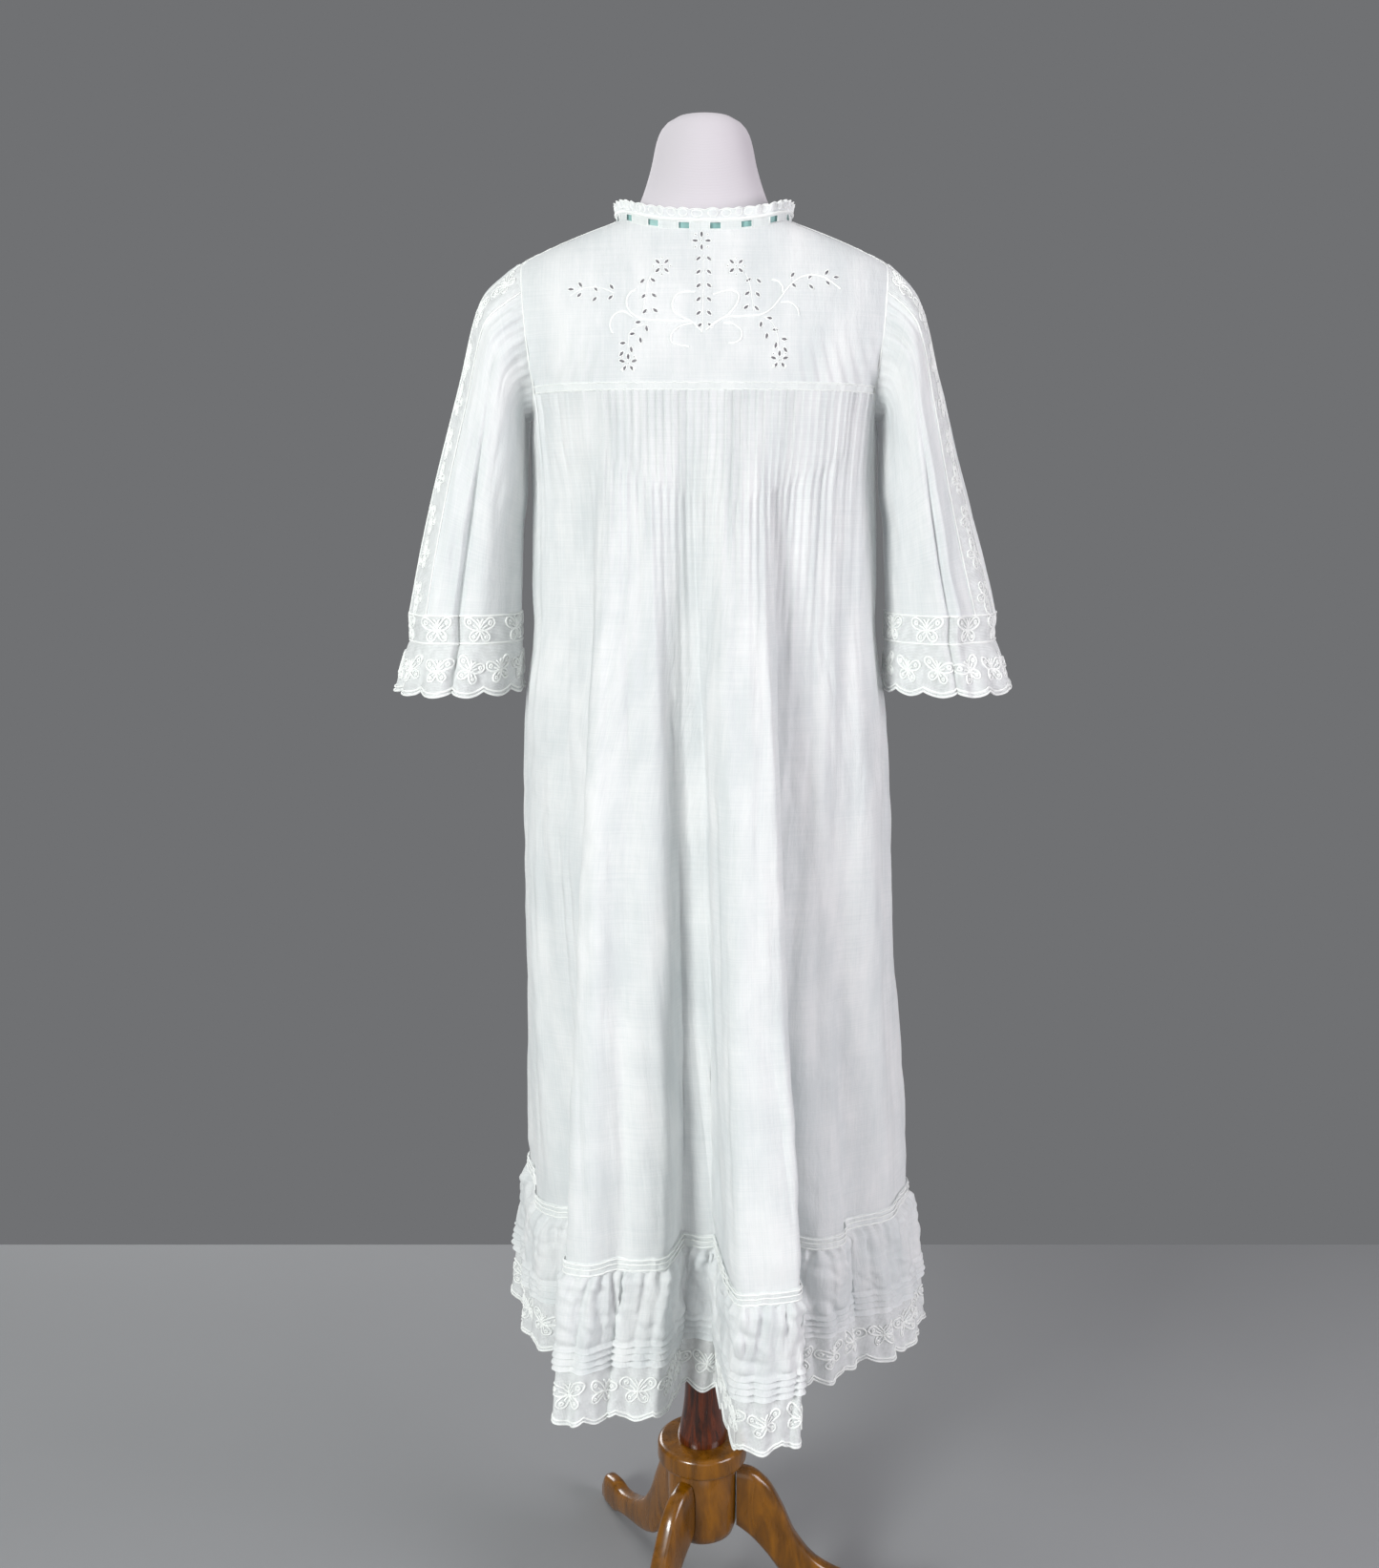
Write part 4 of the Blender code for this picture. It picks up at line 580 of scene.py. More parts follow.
def raised(seat, u, v, height):
    """Points of a seat moved out along its normals."""
    u, v = [np.array(values, float) for values in np.broadcast_arrays(u, v)]
    step_u, step_v = seat.steps
    run = seat.place(u + step_u, v) - seat.place(u - step_u, v)
    fall = seat.place(u, v + step_v) - seat.place(u, v - step_v)
    normal = np.cross(run, fall)
    normal /= np.maximum(np.linalg.norm(normal, axis=-1, keepdims=True), 1e-12)
    here = seat.place(u, v)
    if np.sum(normal * (here - seat.core(here))) < 0:
        normal = -normal
    return here + normal * np.asarray(height)[..., None]


# Materials


def shade(code):
    """A colour's linear values from its sRGB code."""
    parts = [int(code[i:i + 2], 16) / 255 for i in (1, 3, 5)]
    return (*[c / 12.92 if c <= 0.04045 else ((c + 0.055) / 1.055) ** 2.4 for c in parts], 1.0)


def add_node(tree, kind, inputs=None, **settings):
    """Adds a node to a tree: settings are its properties, and inputs its values and links."""
    node = tree.nodes.new(kind)
    for name, value in settings.items():
        setattr(node, name, value)
    for name, value in (inputs or {}).items():
        socket = node.inputs[name]
        if isinstance(value, bpy.types.NodeSocket):
            tree.links.new(value, socket)
        else:
            socket.default_value = value
    return node


def new_material(name, cut=False):
    """A material, its tree, and coordinates along the cut cloth or in space."""
    material = bpy.data.materials.new(name)
    material.use_nodes = True
    tree = material.node_tree
    tree.nodes.clear()
    if cut:
        return material, tree, add_node(tree, "ShaderNodeUVMap", uv_map="cut").outputs["UV"]
    return material, tree, add_node(tree, "ShaderNodeTexCoord").outputs["Object"]


def scaled(tree, source, size):
    """Coordinates from a source, multiplied along each axis."""
    mapping = add_node(tree, "ShaderNodeMapping", {"Vector": source, "Scale": size})
    return mapping.outputs["Vector"]


def clouds(tree, vector, scale=1.0, detail=2.0, roughness=0.5, distortion=0.0):
    return add_node(tree, "ShaderNodeTexNoise", {
        "Vector": vector, "Scale": scale, "Detail": detail, "Roughness": roughness,
        "Distortion": distortion}).outputs["Fac"]


def bands(tree, vector, direction, scale, distortion, detail=2.0):
    return add_node(tree, "ShaderNodeTexWave", {
        "Vector": vector, "Scale": scale, "Distortion": distortion, "Detail": detail,
    }, bands_direction=direction).outputs["Fac"]


def sums(tree, operation, *values):
    return add_node(tree, "ShaderNodeMath", dict(enumerate(values)), operation=operation).outputs[0]


def spread(tree, value, to=(0.0, 1.0), within=(0.0, 1.0)):
    """A value's range within two limits, spread to two others."""
    return add_node(tree, "ShaderNodeMapRange", {
        "Value": value, "From Min": within[0], "From Max": within[1], "To Min": to[0],
        "To Max": to[1]}).outputs["Result"]


def between(tree, factor, dark, light):
    return add_node(tree, "ShaderNodeMix", {
        "Factor": factor, 6: shade(dark), 7: shade(light)}, data_type="RGBA").outputs[2]


def relief(tree, height, strength, distance, invert=False, **over):
    """The normals of a fine relief. over gives the one that it lies on."""
    return add_node(tree, "ShaderNodeBump", {
        "Height": height, "Strength": strength, "Distance": distance, **over},
        invert=invert).outputs["Normal"]


def faced(tree, colour, roughness, rest):
    """The face of a material, from its colour, roughness and the rest of its inputs."""
    return add_node(tree, "ShaderNodeBsdfPrincipled", {
        "Base Color": colour, "Roughness": roughness, **rest})


def finished(material, shader):
    add_node(material.node_tree, "ShaderNodeOutputMaterial", {"Surface": shader.outputs[0]})
    return material


def cotton_cloth(name, light, dark, through, weave=900.0):
    """Woven cotton: uneven yarns both ways, a matt downy face, and light coming through."""
    material, tree, cut = new_material(name, cut=True)
    warp = clouds(tree, scaled(tree, cut, (weave, 16.0, 1.0)), roughness=0.6)
    weft = clouds(tree, scaled(tree, cut, (14.0, weave, 1.0)), roughness=0.6)
    yarns = sums(tree, "ADD", warp, weft)
    soft = clouds(tree, scaled(tree, cut, (26.0, 9.0, 1.0)), detail=4.0, roughness=0.55)
    uneven = spread(tree, sums(tree, "MULTIPLY_ADD", yarns, 0.35, soft), within=(0.70, 1.05))
    colour = between(tree, uneven, dark, light)
    crumple = clouds(tree, scaled(tree, cut, (90.0, 20.0, 1.0)), detail=6.0, roughness=0.66)
    creased = relief(tree, crumple, 0.8, 0.0028)
    face = faced(tree, colour, 0.82, {
        "Sheen Weight": 0.12, "Sheen Roughness": 0.5, "IOR": 1.45, "Specular IOR Level": 0.25,
        "Normal": relief(tree, yarns, 0.45, 0.00015, Normal=creased)})
    back = add_node(tree, "ShaderNodeBsdfTranslucent", {"Color": colour, "Normal": creased})
    return finished(material, add_node(tree, "ShaderNodeMixShader", {
        0: through, 1: face.outputs[0], 2: back.outputs[0]}))


def net_lace(name, light, dark, mesh_size, thread_width, sheer):
    """Machine net of twisted cotton: round meshes of fine threads, with what is behind showing."""
    material, tree, cut = new_material(name, cut=True)
    cells = add_node(tree, "ShaderNodeTexVoronoi", {
        "Vector": cut, "Scale": 1 / mesh_size, "Randomness": 0.45},
        feature="DISTANCE_TO_EDGE", voronoi_dimensions="2D").outputs["Distance"]
    uneven = clouds(tree, cut, 120.0, 3.0, 0.6)
    width = spread(tree, uneven, (thread_width * 0.75, thread_width * 1.35), (0.35, 0.65))
    cover = sums(tree, "MAXIMUM", sums(tree, "LESS_THAN", cells, width), sheer)
    return finished(material, faced(tree, between(tree, uneven, dark, light), 0.85, {
        "Sheen Weight": 0.1, "Alpha": cover, "Specular IOR Level": 0.25,
        "Normal": relief(tree, cells, 0.25, 0.0002, invert=True)}))


def cotton_thread(name, light, dark):
    """Mercerised sewing cotton: a soft gloss and a fine slanting twist."""
    material, tree, place = new_material(name)
    twist = bands(tree, place, "DIAGONAL", 420.0, 1.5, 1.0)
    colour = between(tree, clouds(tree, place, 260.0), dark, light)
    return finished(material, faced(tree, colour, 0.6, {
        "Sheen Weight": 0.2, "Specular IOR Level": 0.4,
        "Normal": relief(tree, twist, 0.5, 0.0001)}))


def silk_ribbon(name, light, dark):
    """Taffeta ribbon: fine ribs across its length and a soft silk gloss."""
    material, tree, cut = new_material(name, cut=True)
    ribs = bands(tree, cut, "X", 500.0, 0.4)
    colour = between(tree, clouds(tree, scaled(tree, cut, (90.0, 700.0, 1.0))), dark, light)
    return finished(material, faced(tree, colour, 0.38, {
        "Sheen Weight": 0.3, "Normal": relief(tree, ribs, 0.4, 0.00008)}))


def pearl_shell(name, light, dark):
    """Mother-of-pearl: cloudy layers with a hard polish."""
    material, tree, place = new_material(name)
    layers = clouds(tree, place, 350.0, 3.0, distortion=1.2)
    gloss = spread(tree, layers, (0.16, 0.34))
    return finished(material, faced(tree, between(tree, layers, dark, light), gloss, {
        "IOR": 1.53, "Coat Weight": 0.4, "Coat Roughness": 0.1}))


def form_jersey(name, light, dark):
    """Fine knitted cotton drawn over the form: rows of tiny stitches and a soft matt face."""
    material, tree, place = new_material(name)
    wales = bands(tree, place, "Z", 220.0, 2.0, 1.0)
    colour = between(tree, clouds(tree, place, 14.0, 4.0), dark, light)
    return finished(material, faced(tree, colour, 0.85, {
        "Sheen Weight": 0.15, "Specular IOR Level": 0.25,
        "Normal": relief(tree, wales, 0.25, 0.0002)}))


def polished_wood(name, light, dark, grain):
    """Turned and polished hardwood: long grain, fine pores in its gloss and relief, and old shellac
    over it.
    """
    material, tree, place = new_material(name)
    figure = clouds(tree, scaled(tree, place, grain), 1.0, 6.0, 0.6, 0.8)
    pores = clouds(tree, scaled(tree, place, tuple(3.5 * g for g in grain)), detail=3.0)
    colour = between(tree, spread(tree, figure, within=(0.38, 0.62)), dark, light)
    return finished(material, faced(tree, colour, spread(tree, pores, (0.20, 0.38)), {
        "IOR": 1.5, "Coat Weight": 0.5, "Coat Roughness": 0.12,
        "Normal": relief(tree, pores, 0.12, 0.0002)}))


def plain_floor(name, grey):
    """Matt painted floor with a faint unevenness."""
    material, tree, place = new_material(name)
    tone = spread(tree, clouds(tree, place, 3.0, 5.0), (0.97, 1.03))
    colour = add_node(tree, "ShaderNodeMix", {"Factor": 1.0, 6: shade(grey), 7: tone},
                      data_type="RGBA", blend_type="MULTIPLY").outputs[2]
    return finished(material, faced(tree, colour, 0.9, {}))


# A washed white cotton that stays below pure white under the lamps, and what goes with it
lawn = cotton_cloth("cotton lawn", "#F8F9F9", "#E6EAEB", 0.24)
tape_cloth = cotton_cloth("cotton tape", "#F6F8F7", "#E6EAEA", 0.22, 700.0)
net = net_lace("cotton net lace", "#EEF0F0", "#DEE1E1", 0.0014, 0.13, 0.56)
thread = cotton_thread("white cotton thread", "#FAFBF9", "#ECEFED")
ribbon_silk = silk_ribbon("blue silk ribbon", "#8FBDB9", "#7FA9A6")
pearl = pearl_shell("pearl shell", "#EDE9E0", "#D9CFC6")
jersey = form_jersey("form jersey", "#CAC5CA", "#CFC9CF")
dark_wood = polished_wood("dark polished wood", "#5E2606", "#2A1004", (160.0, 160.0, 9.0))
golden_wood = polished_wood("golden polished wood", "#845200", "#603A00", (60.0, 60.0, 14.0))
FLOOR_GREY = "#8C8D8F"
BACKDROP_GREY = "#707173"


# Meshes


def mesh_object(name, mesh, material):
    mesh.materials.append(material)
    mesh.shade_smooth()
    made = bpy.data.objects.new(name, mesh)
    bpy.context.scene.collection.objects.link(made)
    return made


def looks_inwards(a, b, c, core):
    return np.sum(np.cross(b - a, c - a) * (a - core(a))) < 0


def grid_mesh(name, points, material, closed=False, keep=None, core=body_core):
    """A mesh from a grid of points, with cut coordinates in metres and faces turned outwards."""
    rows, columns = points.shape[:2]
    if closed:
        points = np.concatenate([points, points[:, :1]], axis=1)
    across = row_lengths(points[rows // 2])
    down = row_lengths(points[:, columns // 2])
    cut = np.stack(np.meshgrid(across, -down), -1)
    flat = points[:, :columns].reshape(-1, 3)
    r, c = np.meshgrid(np.arange(rows - 1), np.arange(columns if closed else columns - 1),
                       indexing="ij")
    if keep is not None:
        r, c = r[keep], c[keep]
    r, c = r.ravel(), c.ravel()
    after = (c + 1) % columns
    low = r + 1
    faces = np.stack([r * columns + c, r * columns + after, low * columns + after,
                      low * columns + c], 1)
    corners = np.stack([cut[r, c], cut[r, c + 1], cut[low, c + 1], cut[low, c]], 1)
    if looks_inwards(flat[faces[:, 0]], flat[faces[:, 1]], flat[faces[:, 3]], core):
        faces, corners = faces[:, ::-1], corners[:, ::-1]
    used, faces = np.unique(faces, return_inverse=True)
    mesh = bpy.data.meshes.new(name)
    mesh.from_pydata(flat[used], [], faces.reshape(-1, 4).tolist())
    mesh.uv_layers.new(name="cut").data.foreach_set("uv", corners.reshape(-1))
    return mesh_object(name, mesh, material)


def dress(made, node):
    """The piece takes its node's place on the dress, and the solid of that node is hidden.
    """
    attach(made, "root")
    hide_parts(node)


# Threads and cords that follow lines, made by geometry nodes


def line_tree(name, sizes, build):
    """Geometry nodes that build something along each line of a mesh, all of one thread."""
    tree = bpy.data.node_groups.new(name, "GeometryNodeTree")
    for socket, kind, value in (("Lines", "Geometry", None), *sizes, ("Thread", "Material", None)):
        made = tree.interface.new_socket(socket, in_out="INPUT", socket_type=f"NodeSocket{kind}")
        if value is not None:
            made.default_value = value
    tree.interface.new_socket("Sewn", in_out="OUTPUT", socket_type="NodeSocketGeometry")
    given = add_node(tree, "NodeGroupInput").outputs
    lines = add_node(tree, "GeometryNodeMeshToCurve", {"Mesh": given["Lines"]}).outputs["Curve"]
    whole = add_node(tree, "GeometryNodeRealizeInstances", {"Geometry": build(tree, given, lines)})
    threaded = add_node(tree, "GeometryNodeSetMaterial", {
        "Geometry": whole.outputs[0], "Material": given["Thread"]})
    add_node(tree, "NodeGroupOutput", {"Sewn": threaded.outputs[0]})
    return tree


def even_steps(tree, lines, length):
    return add_node(tree, "GeometryNodeResampleCurve", {
        "Curve": lines, "Length": length}, mode="LENGTH").outputs[0]


def wind_cord(tree, given, lines):
    """A cord wound along each line, ribbed by its stitches."""
    even = even_steps(tree, lines, given["Stitch length"])
    turn = sums(tree, "MODULO", add_node(tree, "GeometryNodeInputIndex").outputs[0], 2.0)
    swell = sums(tree, "MULTIPLY_ADD", turn, given["Ribbing"], 1.0)
    weight = add_node(tree, "GeometryNodeInputNamedAttribute", {"Name": "weight"},
                      data_type="FLOAT")
    ribbed = add_node(tree, "GeometryNodeSetCurveRadius", {
        "Curve": even, "Radius": sums(tree, "MULTIPLY", swell, weight.outputs[0])})
    section = add_node(tree, "GeometryNodeCurvePrimitiveCircle", {
        "Resolution": given["Sides"], "Radius": given["Thickness"]})
    wound = add_node(tree, "GeometryNodeCurveToMesh", {
        "Curve": ribbed.outputs[0], "Profile Curve": section.outputs[0], "Fill Caps": True})
    return add_node(tree, "GeometryNodeSetShadeSmooth", {"Geometry": wound.outputs[0]}).outputs[0]


def run_stitches(tree, given, lines):
    """A small raised stitch at every step along each line."""
    steps = even_steps(tree, lines, given["Spacing"])
    run = add_node(tree, "GeometryNodeInputTangent")
    turn = add_node(tree, "FunctionNodeAlignRotationToVector", {"Vector": run.outputs[0]}, axis="X")
    bead = add_node(tree, "GeometryNodeMeshUVSphere", {"Segments": 6, "Rings": 4, "Radius": 1.0})
    size = add_node(tree, "ShaderNodeCombineXYZ", {
        "X": sums(tree, "MULTIPLY", given["Length"], 0.5), "Y": given["Thickness"],
        "Z": given["Thickness"]})
    return add_node(tree, "GeometryNodeInstanceOnPoints", {
        "Points": steps, "Instance": bead.outputs["Mesh"], "Rotation": turn.outputs[0],
        "Scale": size.outputs[0]}).outputs[0]


wound_cord = line_tree("wound cord", (
    ("Thickness", "Float", 0.0004), ("Stitch length", "Float", 0.0005),
    ("Ribbing", "Float", 0.12), ("Sides", "Int", 5)), wind_cord)
running_stitch = line_tree("running stitches", (
    ("Spacing", "Float", 0.0022), ("Length", "Float", 0.0016),
    ("Thickness", "Float", 0.00022)), run_stitches)


def lines_mesh(name, lines):
    """A mesh of bare edges from lines: their points, whether they close, and how thick they are."""
    points, edges, weights = [], [], []
    for line, closes, *weight in lines:
        start, count = len(points), len(line)
        points += [tuple(point) for point in line]
        weights += [weight[0] if weight else 1.0] * count
        edges += [(start + i, start + i + 1) for i in range(count - 1)]
        if closes:
            edges.append((start + count - 1, start))
    mesh = bpy.data.meshes.new(name)
    mesh.from_pydata(points, edges, [])
    mesh.attributes.new("weight", "FLOAT", "POINT").data.foreach_set("value", weights)
    return mesh


def from_lines(name, lines, tree, **sizes):
    """Runs a geometry tree on lines and keeps its result as a plain mesh."""
    source = bpy.data.objects.new(name, lines_mesh(name, lines))
    bpy.context.scene.collection.objects.link(source)
    modifier = source.modifiers.new(tree.name, "NODES")
    modifier.node_group = tree
    for item in tree.interface.items_tree:
        size = item.name.lower().replace(" ", "_")
        if item.in_out == "INPUT" and size in sizes:
            modifier[item.identifier] = sizes[size]
    graph = bpy.context.evaluated_depsgraph_get()
    result = bpy.data.meshes.new_from_object(source.evaluated_get(graph), depsgraph=graph)
    source.modifiers.clear()
    source.data = result
    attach(source, "root")
    return source


def cords(name, lines, thickness, slot, stitch, ribbing, sides=5):
    made = from_lines(name, lines, wound_cord, thickness=thickness, stitch_length=stitch,
                      ribbing=ribbing, sides=sides, thread=thread)
    return made


def stitches(name, lines, spacing=0.0022, length=0.0016, thickness=0.0002):
    made = from_lines(name, lines, running_stitch, spacing=spacing, length=length,
                      thickness=thickness, thread=thread)
    return made


def smooth_line(points, count=8):
    """Points on a smooth curve through a few control points."""
    keys = np.array(points, float)
    ends = np.vstack([2 * keys[0] - keys[1], keys, 2 * keys[-1] - keys[-2]])
    line = []
    for i in range(1, len(ends) - 2):
        p0, p1, p2, p3 = ends[i - 1:i + 3]
        for t in np.arange(count) / count:
            line.append(0.5 * (2 * p1 + (p2 - p0) * t + (2 * p0 - 5 * p1 + 4 * p2 - p3) * t**2
                               + (3 * p1 - p0 - 3 * p2 + p3) * t**3))
    line.append(keys[-1])
    return np.array(line)


# Lace: motifs drawn flat about their own middle, and nets with the motifs and threads on them

Wing = namedtuple("Wing", "length width lift spot")
WINGS = (Wing(0.52, 0.33, 0.52, 0.050), Wing(0.37, 0.30, -0.75, 0.042))
FEELER = ((0.0, 0.12), (0.04, 0.22), (0.09, 0.27))
BODY_LINE = (-0.15, -0.05, 0.05, 0.13)
FINE = 0.55


def wing_line(length, width, lift, side):
    """A drop-shaped loop from the middle outwards, turned by lift."""
    t = np.linspace(0, 2 * np.pi, 15)[:-1]
    out = length * (1 - np.cos(t)) / 2
    beside = width / 2 * np.sin(t) * (0.45 + 0.55 * (1 - np.cos(t)) / 2)
    x = out * math.cos(lift) - beside * math.sin(lift)
    y = out * math.sin(lift) + beside * math.cos(lift)
    return np.stack([side * x, y], -1)


def ring(x, y, radius, count=8):
    t = 2 * np.pi * np.arange(count) / count
    return np.stack([x + radius * np.cos(t), y + radius * np.sin(t)], -1)


def butterfly(span, tilt=0.0):
    """Lines of one butterfly with open wings: wings, spots, body and feelers."""
    lines = []
    for side in (-1, 1):
        for wing in WINGS:
            length, across, up = wing.length * span, side * math.cos(wing.lift), math.sin(wing.lift)
            lines.append((wing_line(length, wing.width * span, wing.lift, side), True, 1.0))
            spot = ring(0.70 * length * across, 0.70 * length * up, wing.spot * span)
            lines.append((spot, True, FINE))
            vein = np.array([(r * length * across, r * length * up) for r in (0.14, 0.48)])
            lines.append((vein, False, FINE))
        lines.append((smooth_line([(side * x * span, y * span) for x, y in FEELER], 3), False, 0.5))
        lines.append((ring(side * 0.10 * span, 0.285 * span, 0.014 * span, 5), True, FINE))
    lines.append((np.array([(0.0, y * span) for y in BODY_LINE]), False, 1.5))
    turn = np.array([[math.cos(tilt), -math.sin(tilt)], [math.sin(tilt), math.cos(tilt)]])
    return [(line @ turn.T, closes, weight) for line, closes, weight in lines]


def on_surface(seat, lines, u, v, scale, height):
    """Flat lines laid on a seat about one of its places. scale is metres for a unit of each."""
    return [(raised(seat, u + line[:, 0] / scale[0], v + line[:, 1] / scale[1], height), *rest)
            for line, *rest in lines]


def lace_strip(name, seat, across, down, sense, motifs, lift, edges, samples, thread_sizes):
    """Lace let in between two seams: its motifs one below the other, and a thread at each seam."""
    u, v = np.meshgrid(across, down)
    points = raised(seat, u, v, SHEET)
    made = grid_mesh(f"{name}_net", points, net, core=seat.core)
    wide = row_lengths(points[len(down) // 2])[-1]
    long = row_lengths(points[:, len(across) // 2])[-1]
    scale = (wide / (across[-1] - across[0]), sense * long)
    middle = (across[0] + across[-1]) / 2
    lines = []
    for i, motif in enumerate(motifs):
        lines += on_surface(seat, motif, middle, (i + 0.5) / len(motifs), scale, SHEET + lift)
    run = np.linspace(0.0, 1.0, samples)
    lines += [(raised(seat, edge, run, SHEET + lift), False) for edge in edges]
    thickness, *sizes = thread_sizes
    return made, cords(f"{name}_threads", lines, thickness, "cotton_lace", *sizes), wide, long


Edging = namedtuple("Edging", "top base rows depth motif_height lift edges thread_sizes")


def lace_edging(name, seat, round_places, edging, motifs, samples):
    """Lace along an edge: a net with a scallop below each of its motifs, and threads along it."""
    start, end = round_places[0], round_places[-1]
    count = len(motifs)

    def foot(u):
        wave = np.abs(np.sin(np.pi * count * (u - start) / (end - start))) ** 0.8
        return edging.base + edging.depth * (1 - wave)

    u, v = np.meshgrid(round_places, np.linspace(0, 1, edging.rows))
    points = raised(seat, u, mix(edging.top, foot(u), v), SHEET)
    made = grid_mesh(f"{name}_net", points, net, core=seat.core)
    wide = row_lengths(points[edging.rows // 2])[-1]
    scale = (wide / (end - start), 1.0)
    height = SHEET + edging.lift
    lines = []
    for i, motif in enumerate(motifs):
        lines += on_surface(seat, motif, mix(start, end, (i + 0.5) / count), edging.motif_height,
                            scale, height)
    run = np.linspace(start, end, samples)
    lines += [(raised(seat, run, foot(run) + above, height), False) for above in edging.edges]
    thickness, *sizes = edging.thread_sizes
    return made, cords(f"{name}_threads", lines, thickness, "cotton_lace", *sizes), wide


# Back yoke and its whitework

Eyelet = namedtuple("Eyelet", "x z turn")
YOKE_CREASES_END = 1.500
YOKE_SMOOTH_HALF = 0.075
YOKE_CREASE_PITCH = 0.0135
YOKE_CREASE_RISE = 0.0013
YOKE_MESH = 0.0022
RIM_SWELL = 1.10


def eyelets():
    """Leaf and petal eyelets of the yoke, in the places where the solid is cut."""
    found = []
    for sprig in SPRIGS:
        run_x, run_z = sprig.end_x - sprig.x, sprig.end_z - sprig.z
        length = math.hypot(run_x, run_z)
        side_x, side_z = -run_z / length, run_x / length
        heading = math.atan2(run_z, run_x)
        for i in range(sprig.pairs):
            t = i / max(1, sprig.pairs - 1)
            bow = sprig.bend * math.sin(math.pi * t)
            stem_x = sprig.x + run_x * t + side_x * bow
            stem_z = sprig.z + run_z * t + side_z * bow
            for side in (1, -1):
                out = side * LEAF_SPLAY
                found.append(Eyelet(stem_x + side_x * out, stem_z + side_z * out,
                                    heading + side * math.radians(LEAF_TURN)))
        if sprig.tip:
            reach = LEAF_LENGTH * 1.5 / length
            found.append(Eyelet(sprig.end_x + run_x * reach, sprig.end_z + run_z * reach, heading))
    for flower in FLOWERS:
        for i in range(flower.petals):
            turn = math.radians(flower.turn + 360 * i / flower.petals)
            found.append(Eyelet(flower.x + flower.reach * math.cos(turn),
                                flower.z + flower.reach * math.sin(turn), turn))
    return found


def eyelet_outline(eyelet, swell=1.0, count=14):
    """An eyelet's rounded outline, pointed a little at both ends."""
    t = 2 * np.pi * np.arange(count) / count
    x = LEAF_LENGTH / 2 * swell * np.cos(t)
    y = LEAF_WIDTH / 2 * swell * np.sin(t) * (1 - 0.25 * np.abs(np.cos(t)))
    cosine, sine = math.cos(eyelet.turn), math.sin(eyelet.turn)
    return np.stack([eyelet.x + x * cosine - y * sine, eyelet.z + x * sine + y * cosine], -1)


def dots():
    """Tiny round eyelets in the middle of each flower and round it."""
    found = []
    for flower in FLOWERS:
        found.append((flower.x, flower.z))
        for i in range(4):
            turn = math.radians((flower.turn if flower.petals == 4 else 0) + 45 + 90 * i)
            found.append((flower.x + 1.35 * flower.reach * math.cos(turn),
                          flower.z + 1.35 * flower.reach * math.sin(turn)))
    return found


def back_yoke_place(x, z):
    return points_of(x, -depth_at(x, True, z), z)


def yoke_height(x, z):
    """Soft creases that run up from the tape on both sides of the yoke."""
    low = ease((YOKE_CREASES_END - z) / 0.070)
    side = ease((np.abs(x + 0.005) - YOKE_SMOOTH_HALF) / 0.040)
    wander = 1.5 * soft_noise(x, z, 0.05, 0.09, 3)
    slanted = np.abs(x) + 0.25 * (z - YOKE_LINE)
    pleats = np.sin(2 * np.pi * slanted / YOKE_CREASE_PITCH + wander)
    soft = 0.0005 * soft_noise(x, z, 0.030, 0.030, 4)
    return SHEET + YOKE_CREASE_RISE * low * side * pleats + soft


def inside(loop, x, y):
    """True where each point lies inside a loop, by counting the sides that it is left of."""
    crossings = np.zeros(len(x), dtype=int)
    after = np.roll(loop, -1, axis=0)
    for (ax, ay), (bx, by) in zip(loop, after):
        spans = (ay > y) != (by > y)
        edge_x = ax + (y - ay) * (bx - ax) / (by - ay if by != ay else 1e-12)
        crossings += spans & (x < edge_x)
    return crossings % 2 == 1


def triangles(loops, spots, tolerance):
    """Flat places and the triangles between them, from loops and loose spots."""
    flat = np.vstack([*loops, spots])
    edges, start = [], 0
    for loop in loops:
        edges += [(start + i, start + (i + 1) % len(loop)) for i in range(len(loop))]
        start += len(loop)
    result = delaunay_2d_cdt([Vector(point) for point in flat], edges, [], 0, tolerance)
    places = np.array([(point.x, point.y) for point in result[0]])
    return places, np.array([tuple(face) for face in result[2]])


